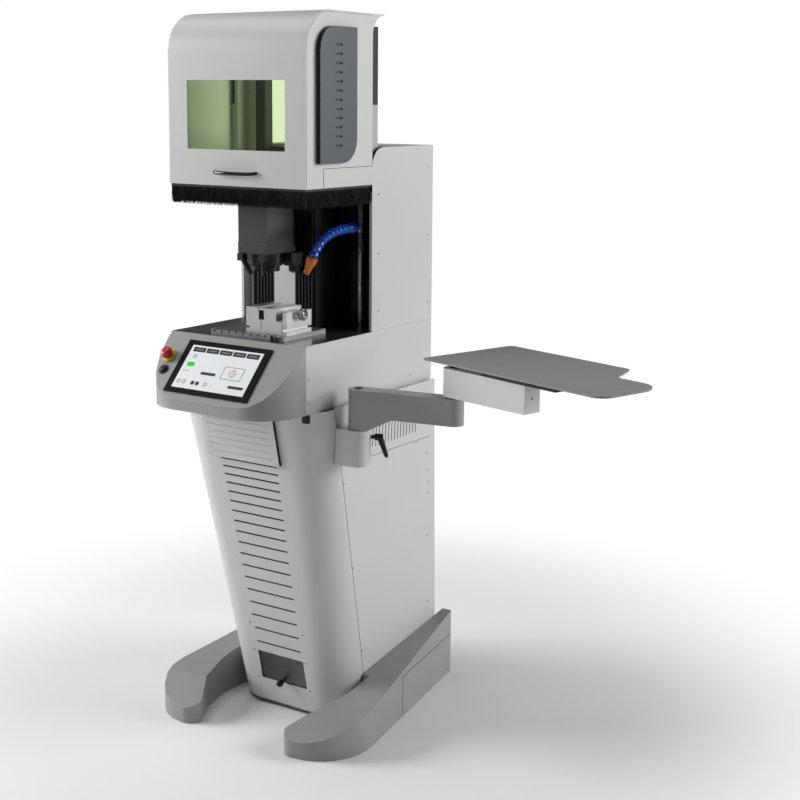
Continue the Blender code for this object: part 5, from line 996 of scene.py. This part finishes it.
footSet = {"seamY": 0.3306, "rearY": 0.660, "outerX": 0.219, "outerY": 0.669, "splay": 0.1737,
           "plate": {"near": 0.0, "low": 0.004, "high": 0.112, "gap": 0.0012, "proud": 0.0008,
                     "finish": "footGreyCoat"},
           "screw": (0.0022, 0.0008), "screws": ((0.545, 0.104), (0.345, 0.104), (0.345, 0.014), (0.640, 0.014))}
frontTilt = math.atan(pedestalSet["frontLean"])
frontOut = Vector((0, -math.cos(frontTilt), -math.sin(frontTilt)))


def slatTree():
    # Flat bars, each as wide as its start point says, tilted alike
    tree, given = newTree("tiltedSlats", Tall="Float", Deep="Float", Tilt="Float", Material="Material")
    bar = put(tree, "GeometryNodeMeshCube", {"Size": vector(tree, 1.0, given["Deep"], given["Tall"])})[0]
    width = put(tree, "GeometryNodeInputNamedAttribute", {"Name": "width"}, data_type="FLOAT")[0]
    turn = vector(tree, given["Tilt"], 0.0, 0.0)
    return scatter(tree, given, given["Geometry"], bar, turn, vector(tree, width, 1.0, 1.0))


slats = slatTree()


def slatsOn(name, points, widths, tall, deep, finish):
    grow(name, slats, finish, "cabinet", {"Tall": tall, "Deep": deep, "Tilt": frontTilt}, points, widths=widths)


def slotShadeMats(count, bottom, topDrop, topWide, bottomWide, tall, evenShare, near, deep):
    # Black sheet just behind the front shell's slots, painted shade that darkens them; the slots stand closer
    # towards the top
    points, widths = [], []
    top = pedestalSet["ledge"] - topDrop
    for index in range(count):
        step = index / (count - 1)
        z = top - (top - bottom) * (evenShare * step + (1 - evenShare) * step * step)
        points.append(at(0.0, frontY(z), z) - frontOut * (near + deep / 2))
        widths.append(topWide + (bottomWide - topWide) * step - tall)
    slatsOn("slotShadeMats", points, widths, tall, deep, "darkGap")


def louvreBlades(count, bottomDrop, topDrop, margin, tall, face, deep):
    low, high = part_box("filter_cover")
    points = []
    for index in range(count):
        z = pedestalSet["ledge"] - bottomDrop + (bottomDrop - topDrop) * (index + 1) / (count + 1)
        points.append(at((low.x + high.x) / 2, frontY(z), z) + frontOut * (face - deep / 2))
    slatsOn("louvreBlades", points, [high.x - low.x - 2 * margin] * count, tall, deep, "warmGreyCoat")


def filterDetails(rows, rowX, corners, depth, stud, shadeLow, shadeHigh, gap):
    # Painted shade as a dark strip along the filter cover's right edge, and its studs
    slabPiece("filterEdgeShade", [[(frontY(z) - out, z) for z, out in gap]], sideFace(1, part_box("filter_cover")[1].x),
              shadeLow, shadeHigh, "darkGap")
    spots = [(at(x, frontY(z), z) + frontOut * depth, frontOut) for x, z in [(rowX, z) for z in rows] + corners]
    screwsOn("filterStuds", spots, stud)


def flankSeams(seamY, seamLean, seamZ, width, ventSeam, out, tall):
    # Thin lines on the flanks where the vent cover ends, and the latch under the console
    ledge, taper = pedestalSet["ledge"], pedestalSet["taper"]
    section = ((-out, -tall), (out, -tall), (out, tall), (-out, tall))
    for side, word in bothSides:
        rings = [[at(side * (flankX(z) + lift), y, z + rise) for lift, rise in section] for y, z in ventSeam]
        loftPiece("ventSeam" + word, rings, "darkGap")
        flank = planeAt(at(side * flankX(ledge), 0.0, ledge), (0, side, 0), (side * taper, 0, 1))
        path = [(side * (seamY + (ledge - z) * seamLean), (z - ledge) * math.hypot(1.0, taper)) for z in seamZ]
        ribbon("shellSeam" + word, path, width, flank)
        slabPiece("latch" + word, [roundedRect((0, 0), *latchSet["size"])],
                  levelAt(side * latchSet["x"], latchSet["y"]), latchSet["low"], latchSet["high"],
                  "blackMoulding", bevel=latchSet["bevel"])


def footCovers(seamY, rearY, outerX, outerY, splay, plate, screw, screws):
    # A screwed cover plate on the outer side of each foot
    def outer(side, y, z=0.0):
        return at(side * (outerX + (outerY - y) * splay), y, z)

    for side, word in bothSides:
        along = outer(side, rearY) - outer(side, seamY)
        place = planeAt(outer(side, seamY), along * side, (0, 0, 1))
        seamedPlate(("footSeam" + word, "footCover" + word), side, place, far=along.length, **plate)
        out = Vector((side, splay, 0.0)).normalized()
        screwsOn("footScrews" + word, [(outer(side, y, z) + out * plate["proud"], out) for y, z in screws], screw)


slotShadeMats(**slotShadeSet)
louvreBlades(**louvreSet)
filterDetails(**filterSet)
flankSeams(**flankSet)
footCovers(**footSet)
print("pedestal and feet details done")

# Laptop arm: pinch groove on the bracket, end screw of the upper arm, and a cap over each of two pivots
shoulder, elbow = at(0.270, 0.1355, 0.0), Vector((0.51702, -0.24731, 0.0))
grooveSet = {"turn": -118.0, "low": 0.738, "high": 0.806, "wide": 0.0030, "corner": 0.0005, "reach": 0.030,
             "sunk": -0.001, "proud": 0.0012}
endSet = {"turn": -14.6, "reach": 0.252, "z": 0.956, "screw": (0.0034, 0.0012)}
capProfile = ((0.0, 0.0), (0.0108, 0.0), (0.0108, 0.0008), (0.0098, 0.0014), (0.0035, 0.0014), (0.0035, 0.0004),
              (0.0, 0.0004))


def heading(degrees):
    return Vector((math.cos(math.radians(degrees)), math.sin(math.radians(degrees)), 0.0))


def pinchGroove(turn, low, high, wide, corner, reach, sunk, proud):
    way = heading(turn)
    slabPiece("pinchGroove", [roundedRect((0.0, (low + high) / 2), wide, high - low, corner)],
              planeAt(shoulder + way * reach, (-way.y, way.x, 0.0), (0, 0, 1)), sunk, proud, "darkGap")


def armEndScrew(turn, reach, z, screw):
    way = heading(turn)
    screwsOn("upperArmScrew", [(elbow + way * reach + Vector((0, 0, z)), way)], screw, "upper_arm")


pinchGroove(**grooveSet)
armEndScrew(**endSet)
for name, centre, top, body in (("shoulderCap", shoulder, 0.91772, "cabinet"),
                                ("elbowCap", elbow, 0.99032, "lower_arm")):
    lathePiece(name, capProfile, [Matrix.Translation(centre + Vector((0, 0, top)))], "blackMoulding", body)
print("arm details done")

# Rear: inlet pins and a bare plate, as (x, z, how far out, low, high), bevel and rectangles
rearSet = {
    "inletPins": ((-0.090, 0.280, -0.0006, -0.0149, -0.0030), 0.0,
                  [(spot, 0.0020, 0.0062, 0.0004) for spot in ((-0.0070, -0.002), (0.0070, -0.002), (0.0, 0.003))]),
    "rearPlate": ((0.10, 0.42, 0.0002, -0.0002, 0.0008), 0.0002, [((0.0, 0.0), 0.070, 0.045, 0.003)]),
}


def rearDetails():
    lean = Vector((0, 1, pedestalSet["rearLean"])).normalized()
    for name, ((x, z, out, low, high), bevel, shapes) in rearSet.items():
        place = planeAt(at(x, rearY(z) + out, z), (-1, 0, 0), (0, -lean.z, lean.y))
        slabPiece(name, [roundedRect(*shape) for shape in shapes], place, low, high, "groundSteel", bevel=bevel)


rearDetails()
print("rear details done")
